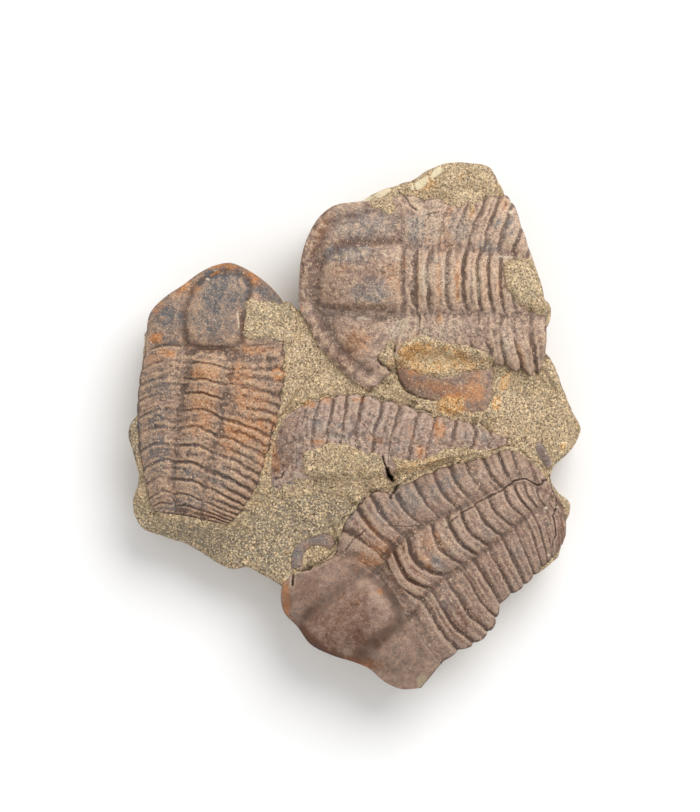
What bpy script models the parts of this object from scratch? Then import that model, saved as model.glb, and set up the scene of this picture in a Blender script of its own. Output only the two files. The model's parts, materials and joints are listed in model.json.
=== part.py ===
"""Ellipsocephalus trilobite group: four trilobites and three loose bits of shell in a broken slab.

The slab lies flat, +Z up, and +Y is the top of the group as it is looked down on.
Run with: blender --background --python part.py
"""
import math

import bmesh
import bpy
import numpy as np

# Driving dimensions, in millimetres
MM = 0.001
GAP = 0.3  # parting gap between a shell and the rock
BED_Z = 5.0  # floor of the hollows that the trilobites lie in
BIT_BED_Z = 6.4  # floor of the hollows that the loose bits of shell lie in
ROCK_Z = 8.0  # mean height of the slab's bedding surface
ABOVE_ALL_Z = 20.0
BREAK_Z = 1.8  # the broken sides lean in below this height
BREAK_SCALE = 0.955
ROCK_CELL = 2.2  # size of the cells of the slab's upper surface
RIM_REACH = 1.1  # a shell this near the slab's side lies open at that side
RIM_PUSH = 1.8

# Relief of a shell, in millimetres
RING_STEP = 0.35  # depth of the groove between two thoracic segments
RIM_FURROW = 0.45  # depth of the furrow inside the head's border
PLEURA_ARCH = 0.7  # how far the side lobes arch over the line from furrow to edge

# Levels across a shell: 0 is its midline, 1 the furrow beside the axis, 2 its outer edge
ACROSS = [-2, -1.9, -1.7, -1.4, -1.08, -0.9, -0.6, -0.3, 0, 0.3, 0.6, 0.9, 1.08, 1.4, 1.7, 1.9, 2]
# Levels along the head, from its front margin at 0 to its rear margin at 1
ALONG_HEAD = [0, 0.06, 0.13, 0.22, 0.34, 0.5, 0.66, 0.8, 0.93]
# Levels within each thoracic segment
ALONG_SEGMENT = [0, 0.45]

# Outline of the slab, clockwise from the notch between the left and the upper trilobite
SLAB_OUTLINE = [
    (-6.3, 13.2), (-6.15, 16.0), (-5.9, 18.5), (-5.2, 21.0), (-4.2, 23.0), (-3.0, 24.3), (0.0, 25.1),
    (4.0, 26.6), (6.0, 27.2), (9.0, 28.9), (10.5, 29.35), (12.0, 29.35), (15.2, 28.7), (16.0, 27.0),
    (17.2, 25.4), (18.2, 23.8), (19.1, 20.5), (20.3, 17.5), (20.8, 15.5), (21.9, 12.6), (21.3, 9.3),
    (22.5, 6.0), (24.4, 1.4), (25.2, -0.3), (24.0, -2.4), (21.9, -4.9), (22.5, -7.0), (24.0, -8.7),
    (23.75, -11.0), (22.9, -14.3), (20.8, -16.3), (18.3, -18.1), (16.3, -20.0), (15.4, -22.4),
    (13.4, -24.3), (10.9, -25.5), (9.2, -27.3), (7.7, -28.9), (6.3, -29.35), (5.0, -29.1), (2.0, -27.3), (0.0, -26.3),
    (-3.3, -25.1), (-5.8, -22.9), (-8.1, -20.3), (-8.3, -17.8), (-10.5, -16.4), (-11.8, -15.6),
    (-13.8, -15.9), (-15.7, -14.9), (-18.3, -13.3), (-21.5, -12.2), (-23.8, -11.2), (-24.6, -8.0),
    (-24.0, -6.2), (-24.5, -3.2), (-25.2, -0.4), (-24.4, 1.2), (-23.8, 7.3), (-23.0, 12.0),
    (-21.5, 14.2), (-18.7, 16.0), (-16.0, 17.7), (-13.6, 18.2), (-11.0, 16.8), (-8.8, 15.0),
]

# Each row crosses a shell: segment number, point on the midline, points towards the right edge,
# points towards the left edge, half width of the axis. Row 0 runs along the head's front margin.
UPPER_ROWS = [
    (0, (-6.15, 16.2), [(-5.9, 18.8), (-5.1, 21.3), (-4.0, 23.2), (-2.4, 24.5), (0.4, 25.0)],
     [(-6.1, 13.2), (-5.0, 11.0), (-3.9, 8.9), (-2.1, 6.9), (0.9, 4.2)], 3.2),
    (1, (5.6, 16.3), [(5.6, 20.0), (5.7, 23.0), (5.2, 25.7)], [(5.5, 12.6), (4.9, 9.4), (3.1, 6.2)], 3.6),
    (2, (7.5, 16.2), [(7.4, 20.0), (7.6, 22.8), (7.8, 25.4)], [(7.4, 12.5), (7.1, 9.9), (6.4, 8.1)], 3.6),
    (3, (9.3, 16.2), [(9.2, 19.9), (9.6, 22.4), (10.6, 25.3)], [(9.2, 12.5), (9.2, 9.8), (9.7, 7.7)], 3.6),
    (5, (12.8, 16.1), [(12.6, 19.6), (13.2, 22.2), (14.6, 25.5)], [(12.8, 12.5), (12.8, 9.6), (13.4, 7.4)], 3.5),
    (7, (16.1, 15.9), [(15.9, 19.3), (16.4, 21.8), (17.5, 25.1)], [(16.1, 12.4), (16.2, 9.4), (17.0, 6.4)], 3.4),
    (8, (17.7, 15.8), [(17.6, 19.2), (18.1, 20.8), (18.6, 22.2)], [(17.7, 12.4), (17.9, 9.2), (18.8, 5.9)], 3.4),
    (9, (19.2, 15.7), [(19.1, 17.6), (19.2, 18.7), (19.4, 19.8)], [(19.3, 12.4), (19.5, 9.0), (20.2, 5.6)], 3.3),
    (10, (20.9, 15.1), [(20.7, 15.9), (20.6, 16.2), (20.5, 16.6)], [(21.2, 12.4), (21.3, 9.5), (21.0, 7.0)], 3.0),
]
LEFT_ROWS = [
    (0, (-13.7, 18.2), [(-12.4, 17.7), (-10.6, 16.6), (-8.9, 15.1), (-7.8, 13.6), (-7.4, 11.6)],
     [(-15.6, 17.9), (-17.4, 17.0), (-19.0, 15.8), (-21.2, 14.3), (-22.7, 12.7), (-23.2, 9.6)], 2.4),
    (1, (-15.8, 8.5), [(-13.1, 8.6), (-10.5, 8.9), (-7.8, 9.2)], [(-18.5, 8.7), (-20.8, 8.9), (-23.0, 8.3)], 2.6),
    (2, (-15.9, 6.9), [(-13.3, 6.5), (-10.5, 6.5), (-7.7, 6.4)], [(-18.3, 7.1), (-20.8, 7.3), (-23.4, 6.3)], 2.45),
    (3, (-16.3, 5.1), [(-14.0, 4.7), (-11.0, 4.3), (-8.0, 3.4)], [(-18.6, 5.3), (-21.0, 5.5), (-23.7, 4.5)], 2.35),
    (4, (-16.7, 3.5), [(-14.4, 2.9), (-11.4, 2.2), (-8.4, 1.2)], [(-19.0, 3.6), (-21.3, 3.8), (-23.9, 2.8)], 2.35),
    (6, (-17.2, -0.2), [(-14.9, -1.1), (-12.2, -2.1), (-9.7, -3.4)], [(-19.6, -0.2), (-22.0, 0.0), (-24.1, -0.9)], 2.35),
    (8, (-18.0, -4.1), [(-16.1, -4.8), (-13.6, -5.8), (-11.1, -7.3)], [(-20.0, -3.9), (-22.0, -3.7), (-23.6, -4.7)], 2.0),
    (10, (-18.4, -7.6), [(-16.8, -8.2), (-14.9, -9.0), (-12.9, -9.9)], [(-20.1, -7.4), (-21.6, -7.2), (-22.9, -8.1)], 1.7),
    (12, (-18.3, -10.0), [(-17.1, -10.3), (-15.7, -10.6), (-14.2, -11.0)], [(-19.7, -9.8), (-21.0, -9.6), (-22.2, -9.5)], 1.35),
]
MIDDLE_ROWS = [
    (0, (-8.9, -4.4), [(-8.8, -2.6), (-8.1, -0.5), (-7.4, 1.4)], [(-9.0, -5.4), (-8.8, -6.2), (-8.4, -6.8)], 1.6),
    (1, (-6.6, -3.2), [(-6.6, -1.2), (-6.2, 0.6), (-5.5, 2.5)], [(-6.7, -4.4), (-6.2, -5.6), (-5.2, -6.4)], 1.8),
    (3, (-3.2, -2.9), [(-3.1, -0.8), (-2.8, 1.2), (-2.4, 3.4)], [(-3.3, -4.2), (-3.0, -5.3), (-2.5, -6.3)], 1.8),
    (5, (0.2, -2.9), [(0.2, -0.8), (0.5, 1.2), (1.0, 3.6)], [(0.1, -4.2), (0.4, -5.2), (0.9, -6.1)], 1.8),
    (6, (2.1, -3.2), [(2.2, -1.2), (2.6, 0.8), (3.1, 3.05)], [(2.0, -4.1), (2.2, -5.0), (2.6, -5.9)], 1.7),
    (7, (3.9, -3.4), [(4.0, -1.5), (4.5, 0.5), (5.1, 2.6)], [(3.8, -4.1), (4.0, -4.6), (4.4, -5.2)], 1.6),
    (8, (6.0, -3.5), [(6.1, -1.8), (6.6, 0.0), (7.1, 1.85)], [(5.9, -4.0), (6.1, -4.4), (6.4, -4.8)], 1.5),
    (9, (8.0, -3.4), [(8.2, -2.0), (8.7, -0.4), (8.9, 1.25)], [(7.9, -3.8), (8.0, -4.0), (8.2, -4.3)], 1.3),
    (10, (10.3, -3.0), [(10.6, -1.9), (11.0, -0.6), (11.0, 0.85)], [(10.2, -3.2), (10.2, -3.4), (10.3, -3.6)], 1.1),
    (11, (12.8, -2.6), [(13.2, -1.8), (13.4, -0.7), (13.0, 0.35)], [(12.7, -2.8), (12.7, -3.0), (12.8, -3.2)], 0.9),
    (12, (14.9, -2.2), [(15.2, -1.7), (15.2, -1.2), (14.8, -0.45)], [(14.9, -2.4), (14.9, -2.5), (15.0, -2.7)], 0.7),
    (13, (17.0, -1.6), [(17.1, -1.45), (17.1, -1.3), (17.0, -1.1)], [(17.0, -1.7), (17.0, -1.8), (17.0, -1.95)], 0.4),
]
LOWER_ROWS = [
    (0, (-4.9, -24.2), [(-6.4, -22.2), (-7.8, -20.7), (-8.2, -18.8), (-7.9, -17.4), (-7.0, -16.6), (-5.6, -16.2)],
     [(-2.6, -25.4), (0.2, -26.3), (1.6, -26.9), (3.2, -28.3), (5.2, -29.2), (7.4, -29.1)], 3.2),
    (1, (4.3, -18.6), [(2.4, -16.4), (0.2, -15.1), (-2.4, -14.3)], [(5.6, -20.8), (7.2, -23.2), (8.4, -24.9), (9.7, -26.4)], 3.2),
    (2, (5.0, -17.3), [(3.2, -14.6), (1.2, -12.9), (-0.2, -12.0), (-1.6, -11.6)], [(7.2, -19.2), (8.5, -20.9), (9.8, -23.0), (11.8, -25.0)], 3.1),
    (3, (6.0, -16.0), [(4.2, -13.4), (2.6, -12.0), (1.2, -10.6), (0.1, -9.0)], [(8.6, -18.5), (9.6, -20.0), (10.9, -22.1), (13.5, -24.2)], 3.1),
    (4, (7.3, -14.9), [(5.6, -12.2), (4.2, -11.1), (2.8, -9.6), (1.6, -7.4)], [(10.1, -17.1), (11.2, -18.5), (12.7, -20.9), (15.1, -22.9)], 3.2),
    (5, (9.5, -13.5), [(7.8, -10.9), (6.5, -10.2), (5.2, -8.8), (4.1, -7.1)], [(11.7, -15.9), (12.8, -17.3), (14.0, -19.4), (15.9, -21.4)], 3.1),
    (6, (11.2, -12.5), [(9.5, -10.0), (8.4, -9.0), (7.3, -7.6), (6.5, -5.9)], [(13.2, -14.9), (14.4, -16.5), (15.3, -18.1), (16.3, -19.9)], 2.9),
    (8, (14.7, -10.4), [(12.7, -7.8), (11.8, -6.9), (11.0, -5.6), (10.4, -4.3)], [(16.2, -12.3), (17.3, -14.2), (18.2, -16.0), (19.0, -17.7)], 2.5),
    (10, (17.5, -8.5), [(15.8, -6.2), (15.1, -5.4), (14.6, -4.4), (14.2, -3.5)], [(18.8, -10.2), (19.7, -12.0), (20.3, -13.9), (20.9, -15.7)], 2.1),
    (12, (19.7, -7.7), [(18.5, -5.6), (18.1, -4.7), (17.7, -3.5), (17.4, -2.6)], [(20.4, -9.1), (21.2, -11.0), (21.7, -12.9), (22.0, -14.7)], 1.6),
    (14, (22.0, -8.6), [(21.8, -7.6), (21.6, -6.8), (21.3, -6.0), (20.9, -5.2)], [(22.5, -10.2), (22.8, -11.8), (23.0, -13.4)], 0.8),
    (15, (23.4, -9.9), [(23.2, -9.2), (23.0, -8.6), (22.7, -7.9), (22.3, -7.3)], [(23.5, -10.6), (23.5, -11.4), (23.5, -12.2)], 0.5),
]

# Heights along each shell: segment number, axis, furrow beside the axis, right edge, left edge
UPPER_HEIGHTS = [(0, 9.2, 9.2, 9.2, 8.9), (0.4, 12.4, 11.2, 9.6, 9.2), (1, 13.2, 11.8, 10.0, 9.4),
                 (5, 13.3, 11.8, 10.0, 9.4), (8, 12.8, 11.5, 9.8, 9.4), (10, 10.6, 10.4, 9.6, 9.0)]
LEFT_HEIGHTS = [(0, 8.2, 8.2, 8.6, 8.2), (0.4, 11.4, 10.4, 9.0, 8.4), (1, 12.2, 11.0, 9.4, 8.5),
                (6, 12.5, 11.1, 9.5, 8.5), (10, 12.0, 10.9, 9.3, 8.5), (12, 10.0, 9.8, 9.2, 8.5)]
MIDDLE_HEIGHTS = [(0, 9.2, 9.2, 9.0, 9.0), (1, 10.4, 9.9, 8.9, 9.0), (5, 10.6, 10.0, 8.9, 9.0),
                  (9, 10.2, 9.8, 8.9, 9.1), (13, 9.0, 9.0, 8.8, 8.9)]
LOWER_HEIGHTS = [(0, 8.4, 8.4, 8.6, 8.4), (0.4, 12.0, 10.9, 9.2, 8.8), (1, 12.8, 11.3, 9.5, 8.8),
                 (5, 12.8, 11.3, 9.4, 8.6), (10, 11.9, 10.8, 9.2, 8.5), (15, 9.0, 9.0, 8.8, 8.5)]

# Loose bits of shell: outline, height of the edge, height that the middle rises above it
CHEEK_OUTLINE = [(5.0, 6.3), (5.0, 5.1), (5.6, 4.0), (6.3, 3.3), (8.0, 3.05), (10.0, 3.3), (11.5, 3.3), (12.2, 2.0),
                 (13.4, 1.5), (15.0, 2.3), (15.2, 4.2), (14.9, 6.2), (13.4, 6.3), (12.0, 5.7), (10.0, 5.6), (7.6, 5.9)]
BAND_OUTLINE = [(-7.0, -15.8), (-6.9, -14.2), (-6.0, -12.9), (-4.4, -12.2), (-2.6, -12.2), (-2.1, -13.0), (-2.8, -13.7),
                (-3.6, -13.3), (-4.8, -13.4), (-5.7, -14.2), (-5.9, -15.6)]
SLIVER_OUTLINE = [(20.0, -2.0), (20.5, -1.9), (21.2, -3.0), (21.9, -4.2), (21.5, -4.6), (20.8, -3.8), (20.2, -2.8)]
BITS = {
    "cheek_fragment": (CHEEK_OUTLINE, 8.3, 1.3),
    "shell_band": (BAND_OUTLINE, 8.2, 0.7),
    "shell_sliver": (SLIVER_OUTLINE, 7.6, 0.5),
}

# Heights of the slab's surface above or below ROCK_Z: place, how far it reaches, height
ROCK_SWELLS = [((10.0, 27.5), 6.0, 1.7), ((20.5, 15.5), 4.5, 1.6), ((21.0, 1.0), 7.0, -0.4), ((-16.0, -13.5), 7.0, -1.5),
               ((-3.0, 9.0), 6.0, 0.3), ((-7.0, -11.0), 4.0, 0.3), ((15.0, -25.0), 6.0, -0.8), ((24.5, -1.0), 3.0, -0.8),
               ((-24.5, 0.0), 2.5, -0.6), ((-8.0, -20.0), 4.0, -0.6), ((2.0, -5.5), 3.0, 0.5)]

# Surfaces as (sRGB hex, roughness)
BROWN_SHELL = ("7F685B", 0.78)
ORANGE_BROWN_SHELL = ("8A6A52", 0.78)
GREY_SHELL = ("6D6863", 0.72)
SILTSTONE = ("98876A", 0.95)

TRILOBITES = {
    "trilobite_upper": (UPPER_ROWS, UPPER_HEIGHTS, BROWN_SHELL),
    "trilobite_left": (LEFT_ROWS, LEFT_HEIGHTS, ORANGE_BROWN_SHELL),
    "trilobite_middle": (MIDDLE_ROWS, MIDDLE_HEIGHTS, BROWN_SHELL),
    "trilobite_lower": (LOWER_ROWS, LOWER_HEIGHTS, BROWN_SHELL),
}


def clear_scene():
    for item in list(bpy.data.objects):
        bpy.data.objects.remove(item, do_unlink=True)


def linear(hex_colour):
    """Turn an sRGB hex colour into linear values with alpha."""
    values = [int(hex_colour[i:i + 2], 16) / 255 for i in (0, 2, 4)]
    return [v / 12.92 if v <= 0.04045 else ((v + 0.055) / 1.055) ** 2.4 for v in values] + [1.0]


def make_material(name, surface):
    colour, roughness = surface
    material = bpy.data.materials.new(name)
    material.use_nodes = True
    shader = material.node_tree.nodes["Principled BSDF"]
    shader.inputs["Base Color"].default_value = linear(colour)
    shader.inputs["Roughness"].default_value = roughness
    shader.inputs["Metallic"].default_value = 0.0
    material.diffuse_color = linear(colour)
    return material


def add_object(name, bm, material=None, smooth=False):
    """Turn a bmesh in millimetres into an object in metres."""
    bmesh.ops.recalc_face_normals(bm, faces=bm.faces)
    bmesh.ops.scale(bm, vec=(MM, MM, MM), verts=bm.verts)
    mesh = bpy.data.meshes.new(name)
    bm.to_mesh(mesh)
    bm.free()
    if material:
        mesh.materials.append(material)
    if smooth:
        mesh.shade_smooth()
    item = bpy.data.objects.new(name, mesh)
    bpy.context.scene.collection.objects.link(item)
    return item


def evenly_along(points, count):
    """Return count points spaced evenly along a line of points."""
    line = np.array(points, float)
    reach = np.concatenate([[0.0], np.cumsum(np.hypot(*np.diff(line, axis=0).T))])
    wanted = np.linspace(0.0, reach[-1], count)
    return np.stack([np.interp(wanted, reach, line[:, axis]) for axis in (0, 1)], axis=1)


def point_on_row(rows, along, across):
    """Find the plan position of a level along and across a shell."""
    numbers = [row[0] for row in rows]
    side = 2 if across >= 0 else 3
    half_rows = np.array([evenly_along([row[1]] + row[side], 9) for row in rows])
    half_row = np.array([[np.interp(along, numbers, half_rows[:, i, axis]) for axis in (0, 1)] for i in range(9)])
    reach = np.concatenate([[0.0], np.cumsum(np.hypot(*np.diff(half_row, axis=0).T))])
    axis_width = min(np.interp(along, numbers, [row[4] for row in rows]), 0.6 * reach[-1])
    level = abs(across)
    distance = level * axis_width if level <= 1 else axis_width + (level - 1) * (reach[-1] - axis_width)
    return [np.interp(distance, reach, half_row[:, axis]) for axis in (0, 1)]


def height_on_shell(heights, along, across):
    """Find the height of a shell: a round axis, arched sides, a rimmed head and grooved rings."""
    numbers = [entry[0] for entry in heights]
    axis_z, furrow_z, right_z, left_z = (np.interp(along, numbers, [entry[i] for entry in heights]) for i in range(1, 5))
    level = abs(across)
    if level <= 1:
        z = furrow_z + (axis_z - furrow_z) * math.sqrt(1 - level ** 2)
    else:
        out = level - 1
        edge_z = right_z if across > 0 else left_z
        arch = PLEURA_ARCH * min(1.0, 2 * along)
        z = furrow_z + (edge_z - furrow_z) * out ** 2 + arch * math.sin(math.pi * out)
    if along < 1:
        inside_rim = min(along / 0.13, (2 - level) / 0.3)
        return z - RIM_FURROW * math.exp(-((inside_rim - 1) / 0.35) ** 2)
    groove = RING_STEP if abs(along - round(along)) < 0.01 else 0.0
    return z - groove * min(1.0, 4 * (2 - level) + 0.3)


def levels_along(rows):
    levels = list(ALONG_HEAD)
    last = rows[-1][0]
    for segment in range(1, last):
        levels += [segment + step for step in ALONG_SEGMENT]
    return levels + [last]


def close_below(bm, z):
    """Draw the open edge of a surface down to a flat underside."""
    rim = [edge for edge in bm.edges if edge.is_boundary]
    walls = bmesh.ops.extrude_edge_only(bm, edges=rim)["geom"]
    lower = [item for item in walls if isinstance(item, bmesh.types.BMVert)]
    for vert in lower:
        vert.co.z = z
    bmesh.ops.holes_fill(bm, edges=[edge for edge in bm.edges if edge.is_boundary])


def build_trilobite(name, rows, heights, surface):
    """Model one trilobite as a grid bent to its rows, closed by a flat underside."""
    along = levels_along(rows)
    bm = bmesh.new()
    bmesh.ops.create_grid(bm, x_segments=len(ACROSS) - 1, y_segments=len(along) - 1, size=0.5)
    for vert in bm.verts:
        across_level = ACROSS[round((vert.co.x + 0.5) * (len(ACROSS) - 1))]
        along_level = along[round((vert.co.y + 0.5) * (len(along) - 1))]
        vert.co.x, vert.co.y = point_on_row(rows, along_level, across_level)
        vert.co.z = height_on_shell(heights, along_level, across_level)
    close_below(bm, BED_Z + GAP)
    return add_object(name, bm, make_material(name + "_shell", surface), smooth=True)


def build_bit(name, outline, edge_z, rise, surface):
    """Model one loose bit of shell as a low cushion on its outline."""
    bm = bmesh.new()
    face = bm.faces.new([bm.verts.new((x, y, edge_z)) for x, y in outline])
    for width, lift in ((0.3, 0.6), (0.35, 0.4)):
        bmesh.ops.inset_region(bm, faces=[face], thickness=width, use_even_offset=True)
        for vert in face.verts:
            vert.co.z += rise * lift
    close_below(bm, BIT_BED_Z + GAP)
    return add_object(name, bm, make_material(name + "_surface", surface), smooth=False)


def distance_to_outline(x, y):
    """Distance from a point to the slab's outline."""
    ring = np.array(SLAB_OUTLINE)
    step = np.roll(ring, -1, axis=0) - ring
    along = np.clip(((np.array([x, y]) - ring) * step).sum(axis=1) / (step ** 2).sum(axis=1), 0, 1)
    nearest = ring + along[:, None] * step
    return np.hypot(nearest[:, 0] - x, nearest[:, 1] - y).min()


def grown(outline):
    """Move an outline out by the parting gap, and far out where it runs along the slab's side."""
    ring = np.array(outline, float)
    tangent = np.roll(ring, -1, axis=0) - np.roll(ring, 1, axis=0)
    normal = np.stack([tangent[:, 1], -tangent[:, 0]], axis=1) / np.hypot(*tangent.T)[:, None]
    area = np.sum(ring[:, 0] * np.roll(ring[:, 1], -1) - np.roll(ring[:, 0], -1) * ring[:, 1])
    outward = normal if area > 0 else -normal
    push = [RIM_PUSH if distance_to_outline(x, y) < RIM_REACH else GAP for x, y in ring]
    return ring + outward * np.array(push)[:, None]


def shell_outline(rows):
    """Walk around a shell's edge: right side, rear, left side and front."""
    along = levels_along(rows)
    last = along[-1]
    right = [point_on_row(rows, level, 2) for level in along]
    rear = [point_on_row(rows, last, level) for level in (1.08, 0, -1.08)]
    left = [point_on_row(rows, level, -2) for level in along[::-1]]
    front = [point_on_row(rows, 0, level) for level in ACROSS[1:-1]]
    return right + rear + left + front


def build_prism(name, levels):
    """Stack rings of points, each at its own height, into a closed prism."""
    bm = bmesh.new()
    rings = [[bm.verts.new((x, y, z)) for x, y in ring] for ring, z in levels]
    bm.faces.new(rings[0])
    bm.faces.new(rings[-1])
    for lower, upper in zip(rings, rings[1:]):
        for i in range(len(lower)):
            j = (i + 1) % len(lower)
            bm.faces.new((lower[i], lower[j], upper[j], upper[i]))
    return add_object(name, bm)


def cut(target, cutter, operation):
    modifier = target.modifiers.new(cutter.name, "BOOLEAN")
    modifier.operation = operation
    modifier.solver = "EXACT"
    modifier.object = cutter
    cutter.hide_render = True
    cutter.display_type = "WIRE"


def rock_height(x, y):
    """Height of the slab's upper surface: swells, and small unevenness from crossing waves."""
    z = ROCK_Z + 0.12 * math.sin(1.1 * x + 0.4 * y) + 0.12 * math.sin(0.7 * y - 0.9 * x + 2)
    for (place_x, place_y), reach, height in ROCK_SWELLS:
        z += height * math.exp(-((x - place_x) ** 2 + (y - place_y) ** 2) / reach ** 2)
    return z


def build_slab(hollows):
    """Model the slab as a block with a swelling top, broken off along the outline and hollowed."""
    half_x, half_y = 27.5, 31.5
    bm = bmesh.new()
    bmesh.ops.create_grid(bm, x_segments=round(2 * half_x / ROCK_CELL), y_segments=round(2 * half_y / ROCK_CELL), size=1.0)
    for vert in bm.verts:
        x, y = vert.co.x * half_x, vert.co.y * half_y
        vert.co = (x, y, rock_height(x, y))
    close_below(bm, -2.0)
    slab = add_object("matrix_slab", bm, make_material("tan_siltstone", SILTSTONE))
    outline = np.array(SLAB_OUTLINE)
    levels = [(outline * BREAK_SCALE, 0.0), (outline, BREAK_Z), (outline, ABOVE_ALL_Z)]
    cut(slab, build_prism("broken_sides", levels), "INTERSECT")
    for name, outline in hollows.items():
        bed = BIT_BED_Z if name in BITS else BED_Z
        cut(slab, build_prism(name + "_hollow", [(grown(outline), bed), (grown(outline), ABOVE_ALL_Z)]), "DIFFERENCE")
    return slab


def main():
    clear_scene()
    hollows = {}
    for name, (outline, edge_z, rise) in BITS.items():
        build_bit(name, outline, edge_z, rise, GREY_SHELL if name == "shell_sliver" else ORANGE_BROWN_SHELL)
        hollows[name] = outline
    for name, (rows, heights, surface) in TRILOBITES.items():
        build_trilobite(name, rows, heights, surface)
        hollows[name] = shell_outline(rows)
    build_slab(hollows)


main()
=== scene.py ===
"""Visual model of a slab of siltstone with four Ellipsocephalus trilobites, looked down on in a studio."""
import json
import math
from functools import lru_cache

import bmesh
import bpy
import numpy as np
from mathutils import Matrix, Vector
from mathutils.bvhtree import BVHTree
from mathutils.kdtree import KDTree

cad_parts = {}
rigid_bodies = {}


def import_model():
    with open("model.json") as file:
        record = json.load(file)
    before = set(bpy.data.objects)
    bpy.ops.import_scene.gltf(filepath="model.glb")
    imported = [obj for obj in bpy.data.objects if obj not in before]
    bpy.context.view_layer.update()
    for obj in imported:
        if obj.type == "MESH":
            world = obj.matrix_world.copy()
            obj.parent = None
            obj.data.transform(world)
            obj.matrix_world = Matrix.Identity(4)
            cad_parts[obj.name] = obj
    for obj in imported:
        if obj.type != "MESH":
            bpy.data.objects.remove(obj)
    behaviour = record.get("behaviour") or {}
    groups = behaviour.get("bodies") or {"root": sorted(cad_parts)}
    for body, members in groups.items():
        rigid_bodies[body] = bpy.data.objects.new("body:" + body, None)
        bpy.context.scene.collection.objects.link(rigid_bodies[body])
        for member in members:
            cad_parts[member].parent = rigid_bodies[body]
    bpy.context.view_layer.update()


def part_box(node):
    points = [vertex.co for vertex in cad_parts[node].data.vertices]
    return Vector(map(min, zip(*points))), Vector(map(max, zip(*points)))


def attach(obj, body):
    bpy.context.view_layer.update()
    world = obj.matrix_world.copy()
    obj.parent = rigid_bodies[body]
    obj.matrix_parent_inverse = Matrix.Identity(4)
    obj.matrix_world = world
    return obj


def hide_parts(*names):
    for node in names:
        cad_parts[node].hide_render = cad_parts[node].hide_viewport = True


bl_info = {
    "name": "Trilobite Slab",
    "version": (1, 0, 0),
    "blender": (4, 5, 0),
    "location": "View3D > Sidebar > Fossil",
    "description": "Models a slab of siltstone with four trilobites and loose bits of shell",
    "category": "Add Mesh",
}

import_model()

# Places are millimetres in plan, as the slab is looked down on, and heights above its flat underside
MM = 0.001
SHELL_BED_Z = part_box("trilobite_upper")[0].z / MM
BIT_BED_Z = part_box("cheek_fragment")[0].z / MM

# Rows across each shell: number, point on the midline, points towards the right edge, points towards
# the left edge, half width of the axis. Row 0 runs along the head's front margin, row 1 along the neck,
# and the later rows lie on the furrows between the segments.
UPPER_ROWS = [
    (0, (-6.15, 16.2), [(-5.9, 18.8), (-5.1, 21.3), (-4, 23.2), (-2.4, 24.5), (0.4, 25)],
     [(-6.1, 13.2), (-5, 11), (-3.9, 8.9), (-2.1, 6.9), (-0.3, 5.2), (1.7, 4)], 3.2),
    (1, (5.6, 16.3), [(5.6, 20), (5.7, 23), (5.2, 25.7)], [(5.5, 12.6), (4.9, 9.4), (3.8, 5.7)], 3.6),
    (2, (7.5, 16.2), [(7.4, 20), (7.6, 22.8), (7.8, 25.4)], [(7.4, 12.5), (7.1, 9.9), (6.4, 8.1)], 3.6),
    (3, (9.3, 16.2), [(9.2, 19.9), (9.6, 22.4), (10.6, 25.3)], [(9.2, 12.5), (9.2, 9.8), (9.7, 7.7)], 3.6),
    (5, (12.8, 16.1), [(12.6, 19.6), (13.2, 22.2), (14.6, 25.5)],
     [(12.8, 12.5), (12.8, 9.6), (13.4, 7.4)], 3.5),
    (7, (16.1, 15.9), [(15.9, 19.3), (16.4, 21.8), (17.5, 25.1)],
     [(16.1, 12.4), (16.2, 9.4), (17, 6.4)], 3.4),
    (8, (17.7, 15.8), [(17.6, 19.2), (18.1, 20.8), (18.6, 22.2)],
     [(17.7, 12.4), (17.9, 9.2), (18.8, 5.9)], 3.4),
    (9, (19.2, 15.7), [(19.1, 17.6), (19.2, 18.7), (19.4, 19.8)],
     [(19.3, 12.4), (19.5, 9), (20.2, 5.6)], 3.3),
    (10, (20.9, 15.1), [(20.7, 15.9), (20.6, 16.2), (20.5, 16.6)], [(21.2, 12.4), (21.3, 9.5), (21, 7)], 3),
]
LEFT_ROWS = [
    (0, (-13.7, 18.2), [(-12.4, 17.7), (-10.6, 16.6), (-8.9, 15.1), (-7.8, 13.6), (-7.4, 11.6)],
     [(-15.6, 17.9), (-17.4, 17), (-19, 15.8), (-21.2, 14.3), (-22.7, 12.7), (-23.2, 9.6)], 2.4),
    (1, (-15.8, 8.5), [(-13.1, 8.6), (-10.5, 8.9), (-7.8, 9.2)],
     [(-18.5, 8.7), (-20.8, 8.9), (-23.35, 8.3)], 2.6),
    (2, (-15.9, 6.9), [(-13.3, 6.5), (-10.5, 6.5), (-7.7, 6.4)],
     [(-18.3, 7.1), (-20.8, 7.3), (-23.75, 6.3)], 2.45),
    (3, (-16.3, 5.1), [(-14, 4.7), (-11, 4.3), (-8, 3.4)], [(-18.6, 5.3), (-21, 5.5), (-24, 4.5)], 2.35),
    (4, (-16.7, 3.5), [(-14.4, 2.9), (-11.4, 2.2), (-8.4, 1.2)],
     [(-19, 3.6), (-21.3, 3.8), (-24.15, 2.8)], 2.35),
    (6, (-17.2, -0.2), [(-14.9, -1.1), (-12.2, -2.1), (-9.7, -3.4)],
     [(-19.6, -0.2), (-22, 0), (-24.1, -0.9)], 2.35),
    (8, (-18, -4.1), [(-16.1, -4.8), (-13.6, -5.8), (-11.1, -7.3)],
     [(-20, -3.9), (-22, -3.7), (-23.6, -4.7)], 2),
    (10, (-18.4, -7.6), [(-16.8, -8.2), (-14.9, -9), (-12.9, -9.9)],
     [(-20.1, -7.4), (-21.6, -7.2), (-22.9, -8.1)], 1.7),
    (12, (-18.3, -10), [(-17.1, -10.3), (-15.7, -10.6), (-14.2, -11)],
     [(-19.7, -9.8), (-21, -9.6), (-22.2, -9.5)], 1.35),
]
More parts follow.
